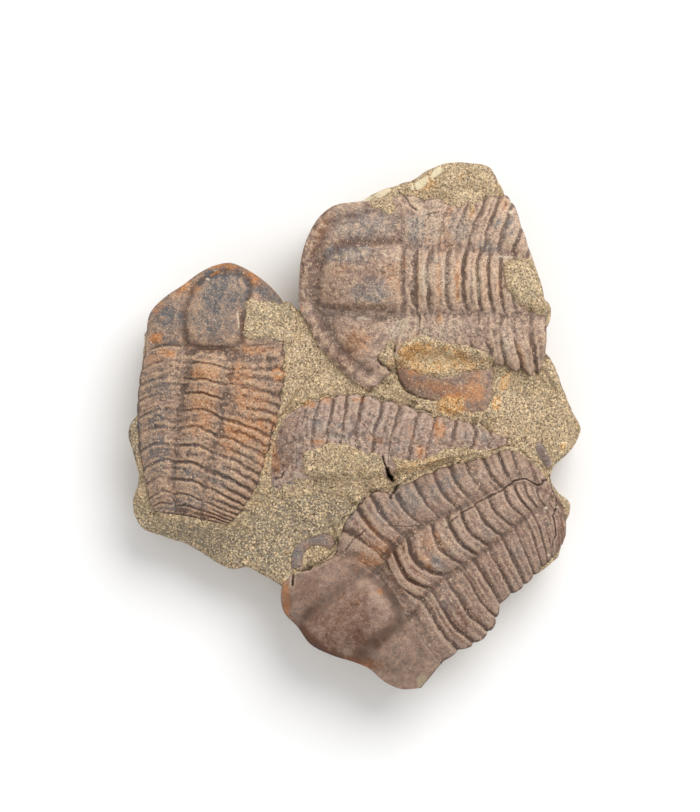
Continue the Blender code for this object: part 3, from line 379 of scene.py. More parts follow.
# Stains, films and patches of painted shade and highlight of each kind: place, reach along and across, turn in
# degrees, strength. Slate, olive and umber are partly painted shade, on the slab's lower left and on the shells'
# flanks and furrows; chalk is partly painted highlight on the upper trilobite's rings
STAINS_AND_SHADING = {
    "iron": [
        (4.3, 16, 1.2, 2.4, 0, 0.55), (-3.8, 21.5, 0.8, 2.5, -25, 0.4), (0.3, 9.4, 1.8, 1.8, 0, 0.6),
        (7.2, 16, 0.35, 3, 0, 0.5), (9.3, 16, 0.35, 3.2, 0, 0.6), (11.4, 16, 0.4, 3.2, 0, 0.9),
        (13.4, 16, 0.35, 3, 0, 0.6), (14.5, 15.5, 0.3, 2.5, 0, 0.5), (16, 15.5, 0.4, 2, 0, 0.5),
        (5.5, 18.2, 0.25, 1.3, 0, 0.9), (12.8, 23.4, 0.3, 1.2, -25, 0.8), (10, 21, 1, 2, 0, 0.35),
        (8, 22, 0.4, 2, 0, 0.4), (9.4, 12, 0.3, 0.7, 0, 0.8), (18.5, 8, 0.4, 1.6, 15, 0.6),
        (-5.9, 13, 0.25, 0.6, 0, 0.6), (-1.5, 17.3, 1.6, 0.8, 20, 0.35), (16.6, 24.6, 0.5, 0.7, 0, 0.5),
        (10.5, 23.6, 0.4, 1, -20, 0.5), (6.5, 10.3, 1.2, 0.5, -10, 0.35), (-16.4, 6, 1.8, 1.3, 0, 0.75),
        (-16.9, 3, 2, 2, 0, 0.6), (-17.2, 0.3, 1.8, 1.4, 0, 0.5), (-11.6, 3, 2.6, 2.2, 0, 0.55),
        (-12.4, -0.6, 2.4, 1.8, -20, 0.8), (-10.3, -0.6, 1.2, 2.2, 0, 0.6), (-14, -2.4, 1.4, 0.9, -20, 0.4),
        (-8.5, 5.9, 0.9, 0.8, 0, 0.9), (-22, 9.8, 0.9, 0.7, 0, 1), (-21, 8.2, 1.4, 0.6, 0, 0.7),
        (-17.4, 15.6, 1.6, 0.7, 35, 0.8), (-14.5, 17.8, 3, 0.45, -5, 0.8), (-11.4, 16.4, 1.4, 0.6, -40, 0.9),
        (-12.5, 5.5, 1.5, 2, 0, 0.5), (-11, 8.5, 2.4, 0.6, 0, 0.5), (-10.2, -3.5, 0.9, 1.5, 0, 0.5),
        (-19, 15.4, 1.4, 0.6, 35, 0.6), (-21.8, 13, 0.5, 1.2, -20, 0.5), (-22.3, 7.5, 1, 0.6, 0, 0.4),
        (9.4, -0.3, 0.7, 1.6, 0, 0.75), (-5, 2.4, 0.9, 0.5, 0, 0.9), (-3.2, 3, 0.7, 0.5, 0, 0.8),
        (6.2, -0.6, 0.35, 1.6, 10, 0.45), (0.5, 3, 1.2, 0.4, 0, 0.7), (7.3, -2.8, 0.9, 0.8, 0, 0.7),
        (-9, 0.5, 0.5, 1.2, -20, 0.7), (-4.2, -1.7, 1.3, 0.4, 0, 0.6), (-8.9, -3.2, 0.5, 2.2, 10, 0.6),
        (-7.6, -19.3, 0.5, 2.2, 0, 0.7), (2.8, -18.3, 0.35, 0.3, 0, 1), (0.5, -19.5, 0.25, 0.2, 0, 1),
        (-4.2, -24.9, 3.2, 0.8, -35, 0.95), (0, -26.3, 2.5, 0.6, -10, 0.7), (9.2, -12.5, 0.4, 1.2, 25, 0.6),
        (1.9, -11.2, 0.4, 1.9, 38, 1), (7.8, -14.8, 0.4, 1.6, 35, 0.7), (9, 7.3, 4.8, 1.7, 0, 0.95),
        (6.8, 8.2, 2.2, 1.2, 5, 1.4), (6.8, -4.3, 3.6, 0.7, 12, 0.5), (12.5, 7, 1.6, 0.8, -20, 0.9),
        (8, 26.8, 1.2, 1.4, 0, 0.6), (11.8, 27.7, 0.9, 0.5, 0, 0.5), (2.2, -14, 2.6, 1.6, 40, 0.5),
        (5.4, -16, 1.6, 3.2, 35, 0.3), (9, -13.2, 2, 2, 30, 0.3), (23.2, -2.2, 0.35, 0.45, 0, 0.9),
        (13.2, 4, 1.5, 2.4, 0, 0.55), (10, 4.3, 3.6, 0.8, -8, 0.45), (10.9, 2.5, 1.8, 1.4, 0, 1.4),
        (16.7, 4.9, 0.42, 1.4, -25, 2.2), (15.8, 2.6, 0.4, 0.9, -15, 2.2), (2.6, -1.6, 1, 0.6, -20, 0.4),
    ],
    "slate": [
        (-0.5, 19.2, 3.4, 1.3, 5, 1.1), (2, 15, 2.4, 1.5, 0, 0.75), (1, 22.3, 4, 2, 8, 0.6),
        (7, 22, 1.5, 2.4, 0, 0.55), (11.5, 22, 1.5, 2, 0, 0.4), (15.8, 22.7, 0.6, 0.9, 0, 0.8),
        (17.3, 21.5, 1.2, 1.8, 0, 0.7), (15, 19.9, 1.8, 0.7, 0, 0.7), (9, 18.5, 0.6, 0.9, 0, 0.5),
        (20.5, 8.5, 0.9, 1.6, 0, 0.6), (-5.2, 16, 0.8, 4.5, 0, 0.45), (-3, 12.3, 1.2, 1.6, 30, 0.4),
        (-14.4, 15.2, 3.2, 2.5, 0, 1.5), (-15.4, 11.8, 3.2, 3, 0, 0.65), (-20.6, 12.2, 1.9, 1.8, 0, 0.75),
        (-20.6, 9.6, 1, 1.6, 0, 0.5), (-10, 14.9, 1.8, 0.9, -35, 0.7), (-21.6, 4.4, 1.6, 1.4, 0, 0.6),
        (-21.8, 0.8, 1.6, 1.8, 0, 0.6), (-21.8, -3, 1.8, 2.5, 0, 0.7), (-18.4, -5.5, 1.8, 2, 0, 0.6),
        (-18.4, -8.6, 2, 1.6, 0, 0.6), (-14.4, -5.8, 1.8, 1.2, -20, 0.7), (-20.3, -9, 2, 1, 0, 0.4),
        (-24.6, -1.2, 0.9, 3.2, 0, 1.4), (-17.9, 1.2, 1, 0.8, 0, 0.4), (-18.4, -2.2, 1.4, 0.9, 0, 0.45),
        (-8.8, 9.9, 0.5, 0.4, 0, 0.8), (-4, 0.3, 1.2, 1.2, 0, 0.55), (-1.5, -0.5, 2, 1.2, 0, 0.35),
        (2.9, 0.5, 1.2, 1.6, 0, 0.4), (5, -2, 1.2, 0.8, 0, 0.4), (-6.2, -4.2, 0.7, 1.4, 0, 0.5),
        (12.3, -0.8, 0.8, 0.8, 0, 0.4), (14.5, -1.2, 0.6, 0.7, 0, 0.5), (1.5, -20.2, 1.6, 1.6, 0, 0.3),
        (0.8, -23.3, 1.5, 1, -20, 0.4), (9.3, -15.2, 0.9, 1.2, 30, 0.8), (5.8, -8, 2.4, 2, 30, 0.7),
        (10, -6.4, 3, 1.2, 30, 0.5), (3, -9.6, 0.8, 1.6, 20, 0.6), (12, -13.4, 0.6, 1, 30, 0.5),
        (14.6, -11.6, 0.7, 1, 30, 0.5), (18, -14, 1.5, 1.5, 30, 0.3), (10.5, -19.8, 2.2, 1.4, 40, 0.55),
        (21, -3.3, 0.8, 1.8, 25, 0.7), (-16.5, -12.9, 8.5, 2, -12, 1.25), (-9.5, -13.5, 4.6, 3.4, -30, 1.05),
        (-6.5, -9.8, 4.5, 3.8, -20, 1), (-2.5, -8.8, 3.4, 2.2, -20, 0.95), (-10.5, -10.5, 2.5, 2.5, 0, 0.8),
        (-3, 10, 2.5, 2.5, 0, 0.2),
    ],
    "chalk": [
        (1.4, 25.3, 0.9, 0.3, 18, 1.2), (3, 25.9, 1, 0.35, 25, 1.3), (7.4, 27, 1, 0.5, 36, 1.3),
        (9, 28.2, 0.9, 0.4, 40, 1.2), (6.4, 26.5, 0.4, 0.3, 0, 0.8), (19, 15.5, 2.8, 3.2, 0, 0.35),
        (12, 27, 4, 1.8, 0, 0.25), (17.5, 0.5, 4, 2.5, 0, 0.2), (6.8, -4.3, 3.6, 0.7, 12, 0.4),
        (13.5, -5.8, 3, 1.2, 30, 0.3), (17.4, 23.8, 0.35, 0.3, 0, 1), (16.9, 18.8, 1.8, 0.2, 0, 0.7),
        (3.3, 19.1, 0.6, 0.08, -25, 1), (3.7, 18.9, 0.4, 0.07, -20, 1), (4.8, 18.6, 0.5, 0.09, -25, 1),
        (-12.9, 11.8, 0.12, 1.5, 5, 0.8), (-15.1, 17.2, 0.8, 0.25, -20, 0.7), (-16.3, 16.4, 0.3, 0.2, 0, 0.8),
        (16.7, 4.9, 0.4, 1.2, -25, 0.5), (15.8, 2.6, 0.2, 0.6, -15, 0.6), (10.9, 2.5, 1.2, 0.8, 0, 0.3),
        (21.6, -14.3, 0.25, 0.25, 0, 0.9), (22.5, -9, 0.2, 0.25, 0, 0.9), (21.3, -9, 0.25, 0.2, 0, 0.9),
        (0, -5.6, 0.2, 0.12, 10, 1), (-0.6, -1.7, 3.8, 0.4, -12, 0.45), (1, 12, 1.2, 0.25, -5, 0.6),
        (9, 10.8, 6, 1.7, 0, 0.36), (5, 11, 2.2, 1.8, 0, 0.5), (8, 22.5, 3, 2.8, 0, 0.42),
        (7.7, 16.2, 0.7, 3.2, 0, 0.58), (13.5, 16, 0.7, 2.8, 0, 0.5), (10, 16.2, 0.8, 3, 0, 0.4),
        (4.4, 16.2, 1, 2.4, 0, 0.35), (16.8, 9, 0.9, 2.4, 5, 0.45), (12, 22.5, 2, 2.4, -10, 0.35),
        (10.2, -13, 2.4, 2, 30, 0.3), (-12, 3.5, 2.5, 3, 0, 0.25), (17.5, -17, 2.6, 1.4, 40, 0.25),
        (9, 7.2, 4.6, 1.6, 0, 0.5), (6.4, 9.3, 1, 0.25, 15, 0.6), (10.4, 5.5, 1.8, 0.25, 8, 0.5),
        (-0.9, 18.7, 0.06, 0.35, -10, 1), (2.2, 14.4, 0.5, 0.06, 30, 0.9), (-1.2, 15, 0.06, 0.4, 25, 0.9),
    ],
    "umber": [
        (-2.4, 16.8, 3, 4, 0, 0.4), (1.5, 17.4, 3, 2.6, 0, 0.35), (-2, 9.5, 2.6, 5, 35, 0.4),
        (-4.3, 20.5, 1.1, 5, -25, 0.6), (-2.8, 8.6, 0.9, 4.5, 38, 0.5), (-4, -24.2, 4.2, 1.7, -36, 1.25),
        (0.4, -25.8, 3.4, 1, -20, 0.7), (-7.5, -19.8, 0.9, 2.4, -10, 0.5), (0.8, -23.4, 2.6, 1.4, -15, 1.1),
        (-2, -23, 5, 2.6, -38, 0.75), (-0.4, -21.4, 4.2, 3.2, 45, 0.8), (3.2, -23, 2.4, 0.7, 42, 0.5),
        (-5, -18.4, 2.6, 2, 0, 0.4), (11.2, -21.4, 3.2, 2.4, -50, 0.65), (15, -16.6, 2, 4, -50, 0.3),
        (22.9, -12, 0.6, 2.2, 0, 0.5), (8.3, -16, 0.5, 1.6, 35, 0.5), (5.2, -15.2, 2.4, 3.4, 35, 0.9),
        (1.5, -12.5, 2.5, 2.5, 40, 0.3), (-7.8, -3.8, 1.6, 2.8, 0, 0.35), (-5.5, 17, 0.8, 5, 0, 0.6),
        (1, 20.4, 5.5, 0.55, 2, 0.55), (1, 13.3, 5.5, 0.55, 0, 0.55), (-4.3, 16.6, 0.5, 3, 0, 0.4),
        (-1.2, 8.2, 0.7, 2.6, 32, 0.5), (-17, -10, 3.4, 0.9, -10, 0.6), (-18.6, 9.6, 0.4, 1.6, 0, 0.5),
        (-15.6, 8.6, 3, 0.35, 0, 0.7), (-12.5, 11.4, 0.35, 2.4, 8, 0.6), (5.6, 5, 0.9, 2.2, 20, 0.6),
        (8.5, 4.4, 3.5, 1.6, -5, 0.4), (20.3, 8.3, 1.2, 2.8, 5, 0.6), (21, -3.2, 0.6, 1.4, 30, 0.5),
    ],
    "olive": [
        (-7.3, 12.8, 0.9, 1.4, 0, 0.8), (-10, -11, 2, 1.2, 0, 0.7), (-15, -12, 3, 1.2, -10, 0.5),
        (-23, -9.5, 1.5, 2, 0, 0.6), (-3, -9.5, 2.5, 1.8, -30, 0.5), (2, -3.8, 1.8, 1, -10, 0.5),
        (18, 4.5, 2.5, 2.5, 0, 0.2), (-9.6, 11.8, 3, 2.6, 0, 0.55), (-12.5, -13.8, 5, 2.4, -15, 0.5),
        (10.2, -10.6, 0.6, 0.35, 40, 1), (7.5, -28.3, 0.7, 1, -20, 1), (-20, -12, 4, 1.2, -15, 0.6),
        (-6.5, -9, 2.4, 1.6, 0, 0.4),
    ],
}
# Cells that a shell's crust stands out over its filling
CRUST_CELLS = 30
# Rows that bound the ribs
RIB_ROWS = range(1, 16)
# How far the rock stays below a shell's surface at its edge, and below a shell's bed
TUCK, BED_GAP = 0.1, 0.3
# Width of a film's cells, how often its top is evened out, and how far it reaches into what carries it
FILM_CELL, FILM_SMOOTHING, FILM_OVERLAP = 0.11, 160, 0.12
# Steps of the slab's broken sides, from the top to the foot
SIDE_STEPS = 14
# Lamps: azimuth from the top of the picture, elevation, and width in metres
LAMPS = {"key": (32, 50, 0.7), "fill": (212, 60, 0.6)}
LAMP_DISTANCE, SKY_STRENGTH, FLOOR_HALF_WIDTH = 0.9, 0.64, 3.0
# The camera stands over this place, level with the shells, and sees this height of the picture
CAMERA_PLACE, SHELL_LEVEL, PICTURE_HEIGHT, SENSOR = (-0.5, 2.28), 9.5, 90.22, 36.0


def linear(hex_colour):
    """Turn an sRGB hex colour into linear values with alpha."""
    values = [int(hex_colour[i:i + 2], 16) / 255 for i in (0, 2, 4)]
    return [v / 12.92 if v <= 0.04045 else ((v + 0.055) / 1.055) ** 2.4 for v in values] + [1.0]


def size_setting(name, description, millimetres):
    return bpy.props.FloatProperty(name=name, description=description, default=millimetres * MM, min=0.0,
                                   precision=5, subtype="DISTANCE", unit="LENGTH")


def colour_setting(name, description, hex_colour):
    return bpy.props.FloatVectorProperty(name=name, description=description, default=linear(hex_colour),
                                         size=4, min=0.0, max=1.0, subtype="COLOR")


def power_setting(name, description, watts):
    return bpy.props.FloatProperty(name=name, description=description, default=watts, min=0.0, unit="POWER")


class FOSSIL_PG_settings(bpy.types.PropertyGroup):
    """Sizes and colours of the slab, its trilobites and the studio"""
    shell_cell: size_setting("Shell cell", "Width of a cell of the shells' surface", 0.088)
    slab_cell: size_setting("Slab cell", "Width of a cell of the slab's surface", 0.165)
    crust: size_setting("Crust", "Thickness of the shells' crust where its edge shows", 0.55)
    shell_grain: size_setting("Shell grain", "Width of the grains drawn on the shells", 0.14)
    rock_grain: size_setting("Rock grain", "Width of the grains drawn on the siltstone", 0.15)
    relief: bpy.props.FloatProperty(name="Relief", description="Factor on the depth of the rings and ribs",
                                    default=1.0, min=0.0, subtype="FACTOR")
    upper_colour: colour_setting("Upper trilobite", "Main colour of the upper trilobite", "BAA190")
    left_colour: colour_setting("Left trilobite", "Main colour of the left trilobite", "A48B79")
    middle_colour: colour_setting("Middle trilobite", "Main colour of the middle trilobite", "A68D7D")
    lower_colour: colour_setting("Lower trilobite", "Main colour of the lower trilobite", "957C6D")
    rock_colour: colour_setting("Siltstone", "Main colour of the siltstone", "A69276")
    floor_colour: colour_setting("Floor", "Colour of the studio floor", "FBFBFB")
    key_power: power_setting("Key light", "Power of the light at the top right", 5.9)
    fill_power: power_setting("Fill light", "Power of the light at the bottom left", 0.4)
    camera_distance: size_setting("Camera distance", "Distance from the camera to the shells", 900.0)


def settings():
    return bpy.context.scene.fossil


# Plan geometry

def smooth_between(knots, values, wanted):
    """Interpolate values smoothly through their knots."""
    knots, values = np.array(knots, float), np.array(values, float)
    if len(knots) > 2:
        slopes = np.gradient(values, knots, axis=0)
    else:
        slopes = np.repeat((values[1:] - values[:1]) / (knots[1] - knots[0]), 2, 0)
    wanted = np.atleast_1d(wanted)
    left = np.clip(np.searchsorted(knots, wanted, side="right") - 1, 0, len(knots) - 2)
    gap = knots[left + 1] - knots[left]
    u = ((wanted - knots[left]) / gap).reshape((-1,) + (1,) * (values.ndim - 1))
    gap = gap.reshape(u.shape)
    return ((2 * u**3 - 3 * u**2 + 1) * values[left] + (u**3 - 2 * u**2 + u) * gap * slopes[left]
            + (3 * u**2 - 2 * u**3) * values[left + 1] + (u**3 - u**2) * gap * slopes[left + 1])


def columns_between(table, wanted, columns):
    """Interpolate some columns of a table smoothly, by its first column."""
    numbers = [entry[0] for entry in table]
    return [smooth_between(numbers, [entry[i] for entry in table], wanted)[:, None] for i in columns]


def lengths_along(line):
    return np.concatenate([[0.0], np.cumsum(np.hypot(*np.diff(line, axis=0).T))])


def points_at(wanted, reach, line):
    """Points at some lengths along a line, given its points' own lengths."""
    return np.stack([np.interp(wanted, reach, line[:, axis]) for axis in (0, 1)], axis=1)


def ragged_ring(outline, count, amount, size, seeds):
    """Evenly spaced points on a smooth closed outline, each moved a little."""
    closed = np.array(outline + outline[:1], float)
    reach = lengths_along(closed)
    line = smooth_between(reach, closed, np.linspace(0, reach[-1], 200))
    reach = lengths_along(line)
    ring = points_at(np.linspace(0, reach[-1], count), reach, line)[:-1]
    return ring + amount * np.stack([unevenness(*ring.T, size, seed) for seed in seeds], 1)


def distance_to_line(x, y, route, closed=False):
    """Distance from points to a route of straight stretches, and whether a closed route holds them."""
    route = np.array(route, float)
    ends = np.roll(route, -1, axis=0) if closed else route[1:]
    nearest = np.full(x.shape, np.inf)
    inside = np.zeros(x.shape, bool)
    for (ax, ay), (bx, by) in zip(route, ends):
        ux, uy = bx - ax, by - ay
        along = np.clip(((x - ax) * ux + (y - ay) * uy) / max(ux * ux + uy * uy, 1e-12), 0, 1)
        nearest = np.minimum(nearest, (x - ax - along * ux) ** 2 + (y - ay - along * uy) ** 2)
        if closed and ay != by:
            inside ^= ((ay > y) != (by > y)) & (x < ax + (y - ay) / (by - ay) * ux)
    return np.sqrt(nearest), inside


def depth_inside(x, y, outline):
    """Distance to an outline, positive inside it and negative outside."""
    distance, inside = distance_to_line(x, y, outline, closed=True)
    return np.where(inside, distance, -distance)


def deepest_inside(x, y, outlines):
    return np.max([depth_inside(x, y, outline) for outline in outlines], axis=0)


def step(low, high, value):
    """Rise smoothly from 0 at low to 1 at high."""
    u = np.clip((value - low) / (high - low), 0, 1)
    return u * u * (3 - 2 * u)


def bell(value, width):
    """Fall from 1 at zero, over about width on either side."""
    return np.exp(-(value / width) ** 2)


def unevenness(x, y, size, seed, octaves=3):
    """Smooth lattice noise from -1 to 1, whose lumps are about size millimetres wide."""
    total, weight, result = 0.0, 1.0, np.zeros(np.shape(x))
    for octave in range(octaves):
        u, v = np.asarray(x) / size + seed * 7.3, np.asarray(y) / size - seed * 3.1
        i, j = np.floor(u), np.floor(v)
        fu, fv = u - i, v - j
        fu, fv = fu * fu * (3 - 2 * fu), fv * fv * (3 - 2 * fv)
        corner = [np.modf(np.abs(np.sin((i + di) * 127.1 + (j + dj) * 311.7 + (seed + octave) * 74.7)
                                 * 43758.5453))[0] for dj in (0, 1) for di in (0, 1)]
        value = (corner[0] * (1 - fu) + corner[1] * fu) * (1 - fv) + (corner[2] * (1 - fu) + corner[3] * fu) * fv
        result += weight * (2 * value - 1)
        total += weight
        weight, size = weight * 0.55, size * 0.5
    return result / total


def stains_and_shading(x, y, **seeds):
    """Strength of some kinds of mark at points, stains and patches of painted shade and highlight: soft ovals, with
    edges that each kind's seed makes ragged.
    """
    found = {}
    for kind, seed in seeds.items():
        strength = np.zeros(np.shape(x))
        ragged = 0.45 * unevenness(x, y, 0.8, seed)
        for place_x, place_y, reach_along, reach_across, turn, most in STAINS_AND_SHADING[kind]:
            cos, sin = math.cos(math.radians(turn)), math.sin(math.radians(turn))
            u = ((x - place_x) * cos + (y - place_y) * sin) / reach_along
            v = ((y - place_y) * cos - (x - place_x) * sin) / reach_across
            strength = np.maximum(strength, most * step(1.25, 0.35, np.sqrt(u * u + v * v) + ragged))
        found[kind] = strength
    return found


def crack_marks(x, y):
    """Depth of the cracks at points, and the painted shade that darkens them, more in deeper cracks."""
    drop, dark = np.zeros(np.shape(x)), np.zeros(np.shape(x))
    wander = 0.2 * unevenness(x, y, 0.8, 11)
    broken = 0.75 + 0.6 * unevenness(x, y, 1.1, 12, 2)
    for half_width, depth, route in CRACKS:
        distance, _ = distance_to_line(x + wander, y - wander, route)
        shape = bell(distance, half_width) * np.clip(broken + 0.5 * (depth > 0.7), 0.15, 1)
        drop = np.maximum(drop, depth * shape)
        dark = np.maximum(dark, shape * min(1.0, 0.4 + 0.9 * depth))
    return drop, dark


def blurred(grid, cells):
    """Average a grid of heights over a square of cells, keeping its edges."""
    result, width = grid, 2 * cells + 1
    for axis in (0, 1):
        ends = [np.repeat(result.take([end], axis), cells, axis) for end in (0, -1)]
        summed = np.cumsum(np.concatenate([ends[0], result, ends[1]], axis), axis)
        summed = np.concatenate([np.zeros_like(summed.take([0], axis)), summed], axis)
        count = summed.shape[axis]
        result = (summed.take(range(width, count), axis) - summed.take(range(count - width), axis)) / width
    return result


# Form of a trilobite

def shell_levels(form):
    """Levels along and across a shell, so that its cells are about shell_cell wide."""
    cell = settings().shell_cell / MM
    rows = form["rows"]
    numbers = [row[0] for row in rows]
    fine = np.linspace(0, numbers[-1], 400)
    reach = lengths_along(smooth_between(numbers, [row[1] for row in rows], fine))
    along = np.interp(np.arange(0, reach[-1], cell), reach, fine)
    along[-1] = numbers[-1]
    _, middle, right, left, half_axis = rows[len(rows) // 3]
    right_cells, left_cells = (round((lengths_along(np.array([middle] + side))[-1] - half_axis) / cell)
                               for side in (right, left))
    across = [np.linspace(-2, -1, left_cells + 1)[:-1],
              np.linspace(-1, 1, round(2 * half_axis / cell) + 1)[:-1],
              np.linspace(1, 2, right_cells + 1)]
    return along, np.concatenate(across)


def row_halves(row):
    """The right and left halves of a row, each evenly spaced on one smooth curve through the whole row."""
    _, middle, right, left, _ = row
    whole = np.array(left[::-1] + [middle] + right, float)
    reach = lengths_along(whole)
    fine = np.linspace(0, reach[-1], 400)
    curve = smooth_between(reach, whole, fine)
    return [points_at(np.linspace(reach[len(left)], end, 25), fine, curve) for end in (reach[-1], 0.0)]


def shell_plan(form, along, across):
    """Plan position of every level along and across a shell."""
    rows = form["rows"]
    numbers = [row[0] for row in rows]
    halves = [row_halves(row) for row in rows]
    axis_width = smooth_between(numbers, [row[4] for row in rows], along)
    part, _ = segment_part(RIB_ROWS, along)
    draw_in = (1 - np.sin(np.pi * np.clip(part * 1.1, 0, 1)) ** 0.6) * step(1.0, 1.2, along)
    draw_in += 0.25 * unevenness(along, 0 * along, 0.6, 61, 2)
    x, y = np.zeros((len(along), len(across))), np.zeros((len(along), len(across)))
    for side, chosen in ((0, across >= 0), (1, across < 0)):
        half_rows = smooth_between(numbers, [half[side] for half in halves], along)
        level = np.abs(across[chosen])
        for i, half_row in enumerate(half_rows):
            reach = lengths_along(half_row)
            width = min(axis_width[i], 0.6 * reach[-1])
            out = (level - 1) * (1 - form["scallop"][side] * draw_in[i] * step(0.3, 1.0, level - 1))
            distance = np.where(level <= 1, level * width, width + out * (reach[-1] - width))
            x[i, chosen], y[i, chosen] = points_at(distance, reach, half_row).T
    return x, y


def segment_part(furrows, position):
    """Fraction of the way through its segment, and the segment's number, at each position along the body."""
    furrows = np.array(list(furrows) + [furrows[-1] + 1.0], float)
    number = np.clip(np.searchsorted(furrows, position, side="right") - 1, 0, len(furrows) - 2)
    part = np.clip((position - furrows[number]) / (furrows[number + 1] - furrows[number]), 0, 1)
    return part, number


def ridge(part, front):
    """Section of a ridge over its segment: it rises over the front part and falls gently, to a narrow furrow."""
    return step(0.0, front, part) * (1 - 0.45 * part) * step(1.0, 0.9, part)


def head_relief(form, x, y, out, arch, body, edge_z, furrow_z):
    """Height of the head: one low dome with the glabella standing on it, and a border around its front."""
    from_front, _ = distance_to_line(x, y, np.stack([x[0], y[0]], axis=1)[::6])
    if form["glabella"]:
        rise, shoulder, sharpness = form["dome"]
        depth, width = form["moat"]
        inside = depth_inside(x, y, form["glabella"])
        head = edge_z + (furrow_z + 0.25 * arch - edge_z) * (1 - np.exp(-from_front / 2.0)) * np.cos(out * 1.25)
        dome = (1 - (1 - np.clip(inside / shoulder, 0, 1)) ** 2) ** sharpness
        head += rise * dome * (1 - np.exp(-from_front / 0.8)) - depth * bell(inside + 0.1, width)
    else:
        head = edge_z + (body - edge_z) * (1 - np.exp(-from_front / 0.7))
    rim_width, rim_rise, rim_furrow = form["rim"]
    head += rim_rise * bell(from_front - 0.5 * rim_width, 0.5 * rim_width)
    head -= rim_furrow * bell(from_front - 1.2 * rim_width, 0.4 * rim_width)
    return blurred(blurred(head, form["soft"]), form["soft"])


def shell_relief(form, along, across, x, y, seed):
    """Height of a shell at its grid points: lobes, rings, ribs, the head's domes and its border."""
    t, c = np.meshgrid(along, across, indexing="ij")
    axis_z, furrow_z, right_z, left_z = columns_between(form["heights"], along, range(1, 5))
    level, right = np.abs(c), c > 0
    out = np.clip(level - 1, 0, 1)
    edge_z = np.where(right, right_z, left_z)
    arch = np.where(right, *form["arch"])
    domed = np.clip(1 - level**2, 0, 1)
    body = np.where(level <= 1, furrow_z + (axis_z - furrow_z) * domed ** form["crown"],
                    furrow_z + (edge_z - furrow_z) * out**2.1 + arch * np.sin(np.pi * out))
    body = blurred(body, 4)
    head = head_relief(form, x, y, out, arch, body, edge_z, furrow_z)
    z = head + (body - head) * step(form["neck"], 1.03, t)

    # The rings of the axis bow forward; each rises behind its furrow and falls gently to the next
    waver = form["waver"] * (unevenness(x, y, 2.2, seed + 3) + 0.35 * unevenness(x, y, 0.6, seed + 4))
    strength = np.clip(1 + 0.8 * unevenness(x, y, 2.6, seed + 7), 0.2, 1.7)
    part, number = segment_part(form["rings"], t + waver + form["ring_bulge"] * domed)
    ring_depth, = columns_between(form["ring_depths"], along, (1,))
    ring = (ridge(part, form["profile"][0]) - 0.55) * ring_depth * strength
    ring *= (1 + 0.2 * np.sin(number * 2.4 + seed)) * (0.35 + 0.65 * step(1.0, 0.75, level))
    # The ribs of the side lobes have a furrow of their own along the middle, and are deepest near their tips
    part, number = segment_part(RIB_ROWS, t + waver)
    rib_depth = np.where(right, *columns_between(form["rib_depths"], along, (1, 2)))
    split = np.where(right, *form["split"]) * (1 + 0.3 * unevenness(x, y, 2.0, seed + 9))
    rib = ridge(part, form["profile"][1]) - 0.5 - split * bell(part - 0.52, 0.12) * step(0.1, 0.4, out)
    rib *= rib_depth * strength * (0.45 + 0.55 * step(0.0, 0.7, out)) * (1 + 0.2 * np.sin(number * 1.9 + seed))
    on_axis = step(1.12, 0.9, level)
    relief = (ring * on_axis + rib * (1 - on_axis)) * step(0.97, 1.04, t)
    if "band" in form:
        relief *= step(0.3, -0.3, depth_inside(x, y, form["band"]))
    z += relief * settings().relief

    grit = np.where(t < 1, *form["grit"])
    z += form["rough"] * (unevenness(x, y, 2.2, seed) + 0.4 * unevenness(x, y, 0.7, seed + 5))
    z += 0.022 * grit * unevenness(x, y, 0.3, seed + 6, 2)
    # Fine wrinkles along the rings and ribs, and places where the skin has flaked off in steps
    z += 0.09 * unevenness(3.4 * (t + 0.3 * waver), 1.1 * c, 0.9, seed + 12) * step(1.0, 1.1, t)
    for size, flaked in ((2.4, 0.07), (1.1, 0.05)):
        z -= flaked * step(0.08, 0.16, unevenness(x, y, size, seed + 14)) * step(0.5, 1.0, grit)
    drop, dark = crack_marks(x, y)
    z -= drop + 0.3 * np.exp(-(2 - level) / 0.04)
    return z, dark, grit


@lru_cache(None)
def shell_surface(key):
    """Grid of a trilobite's shell: plan, height and the marks that its finish follows, among them the painted
    shading of its hollows and crests.
    """
    form = TRILOBITES[key]
    seed = 1 + sorted(TRILOBITES).index(key)
    along, across = shell_levels(form)
    x, y = shell_plan(form, along, across)
    z, dark, grit = shell_relief(form, along, across, x, y, seed)
    # Painted shading of the relief: positive in hollows, where it lays painted shade, and negative on crests, where
    # it lays a painted highlight
    hollow = 0.75 * np.clip((blurred(z, 4) - z) / 0.07, -1, 1) + 0.25 * np.clip((blurred(z, 12) - z) / 0.3, -1, 1)
    marks = stains_and_shading(x, y, iron=seed, slate=seed + 1, chalk=seed + 2, olive=seed + 3, umber=seed + 4)
    return x, y, z, {"hollow": hollow, "grit": grit, "crack": dark, **marks}


@lru_cache(None)
def shell_rim(key):
    """Places around the edge of a trilobite's shell."""
    grid = np.stack(shell_surface(key)[:3], axis=2)
    return np.concatenate([grid[::4, -1], grid[-1, ::-4], grid[::-4, 0], grid[0, ::4]])


# Making pieces

def show(name, data):
    """Put an object with some data in the scene."""
    made = bpy.data.objects.new(name, data)
    bpy.context.scene.collection.objects.link(made)
    return made


def finish_piece(name, bm, material, node):
    """Turn a bmesh in millimetres into a piece that stands for a CAD node."""
    bmesh.ops.recalc_face_normals(bm, faces=bm.faces)
    bmesh.ops.scale(bm, vec=(MM, MM, MM), verts=bm.verts)
    mesh = bpy.data.meshes.new(name)
    bm.to_mesh(mesh)
    bm.free()
    mesh.materials.append(material)
    mesh.shade_smooth()
    piece = show(name, mesh)
    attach(piece, "root")
    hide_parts(node)
    return piece


def plan_of(verts):
    return np.array([vert.co[:2] for vert in verts]).T


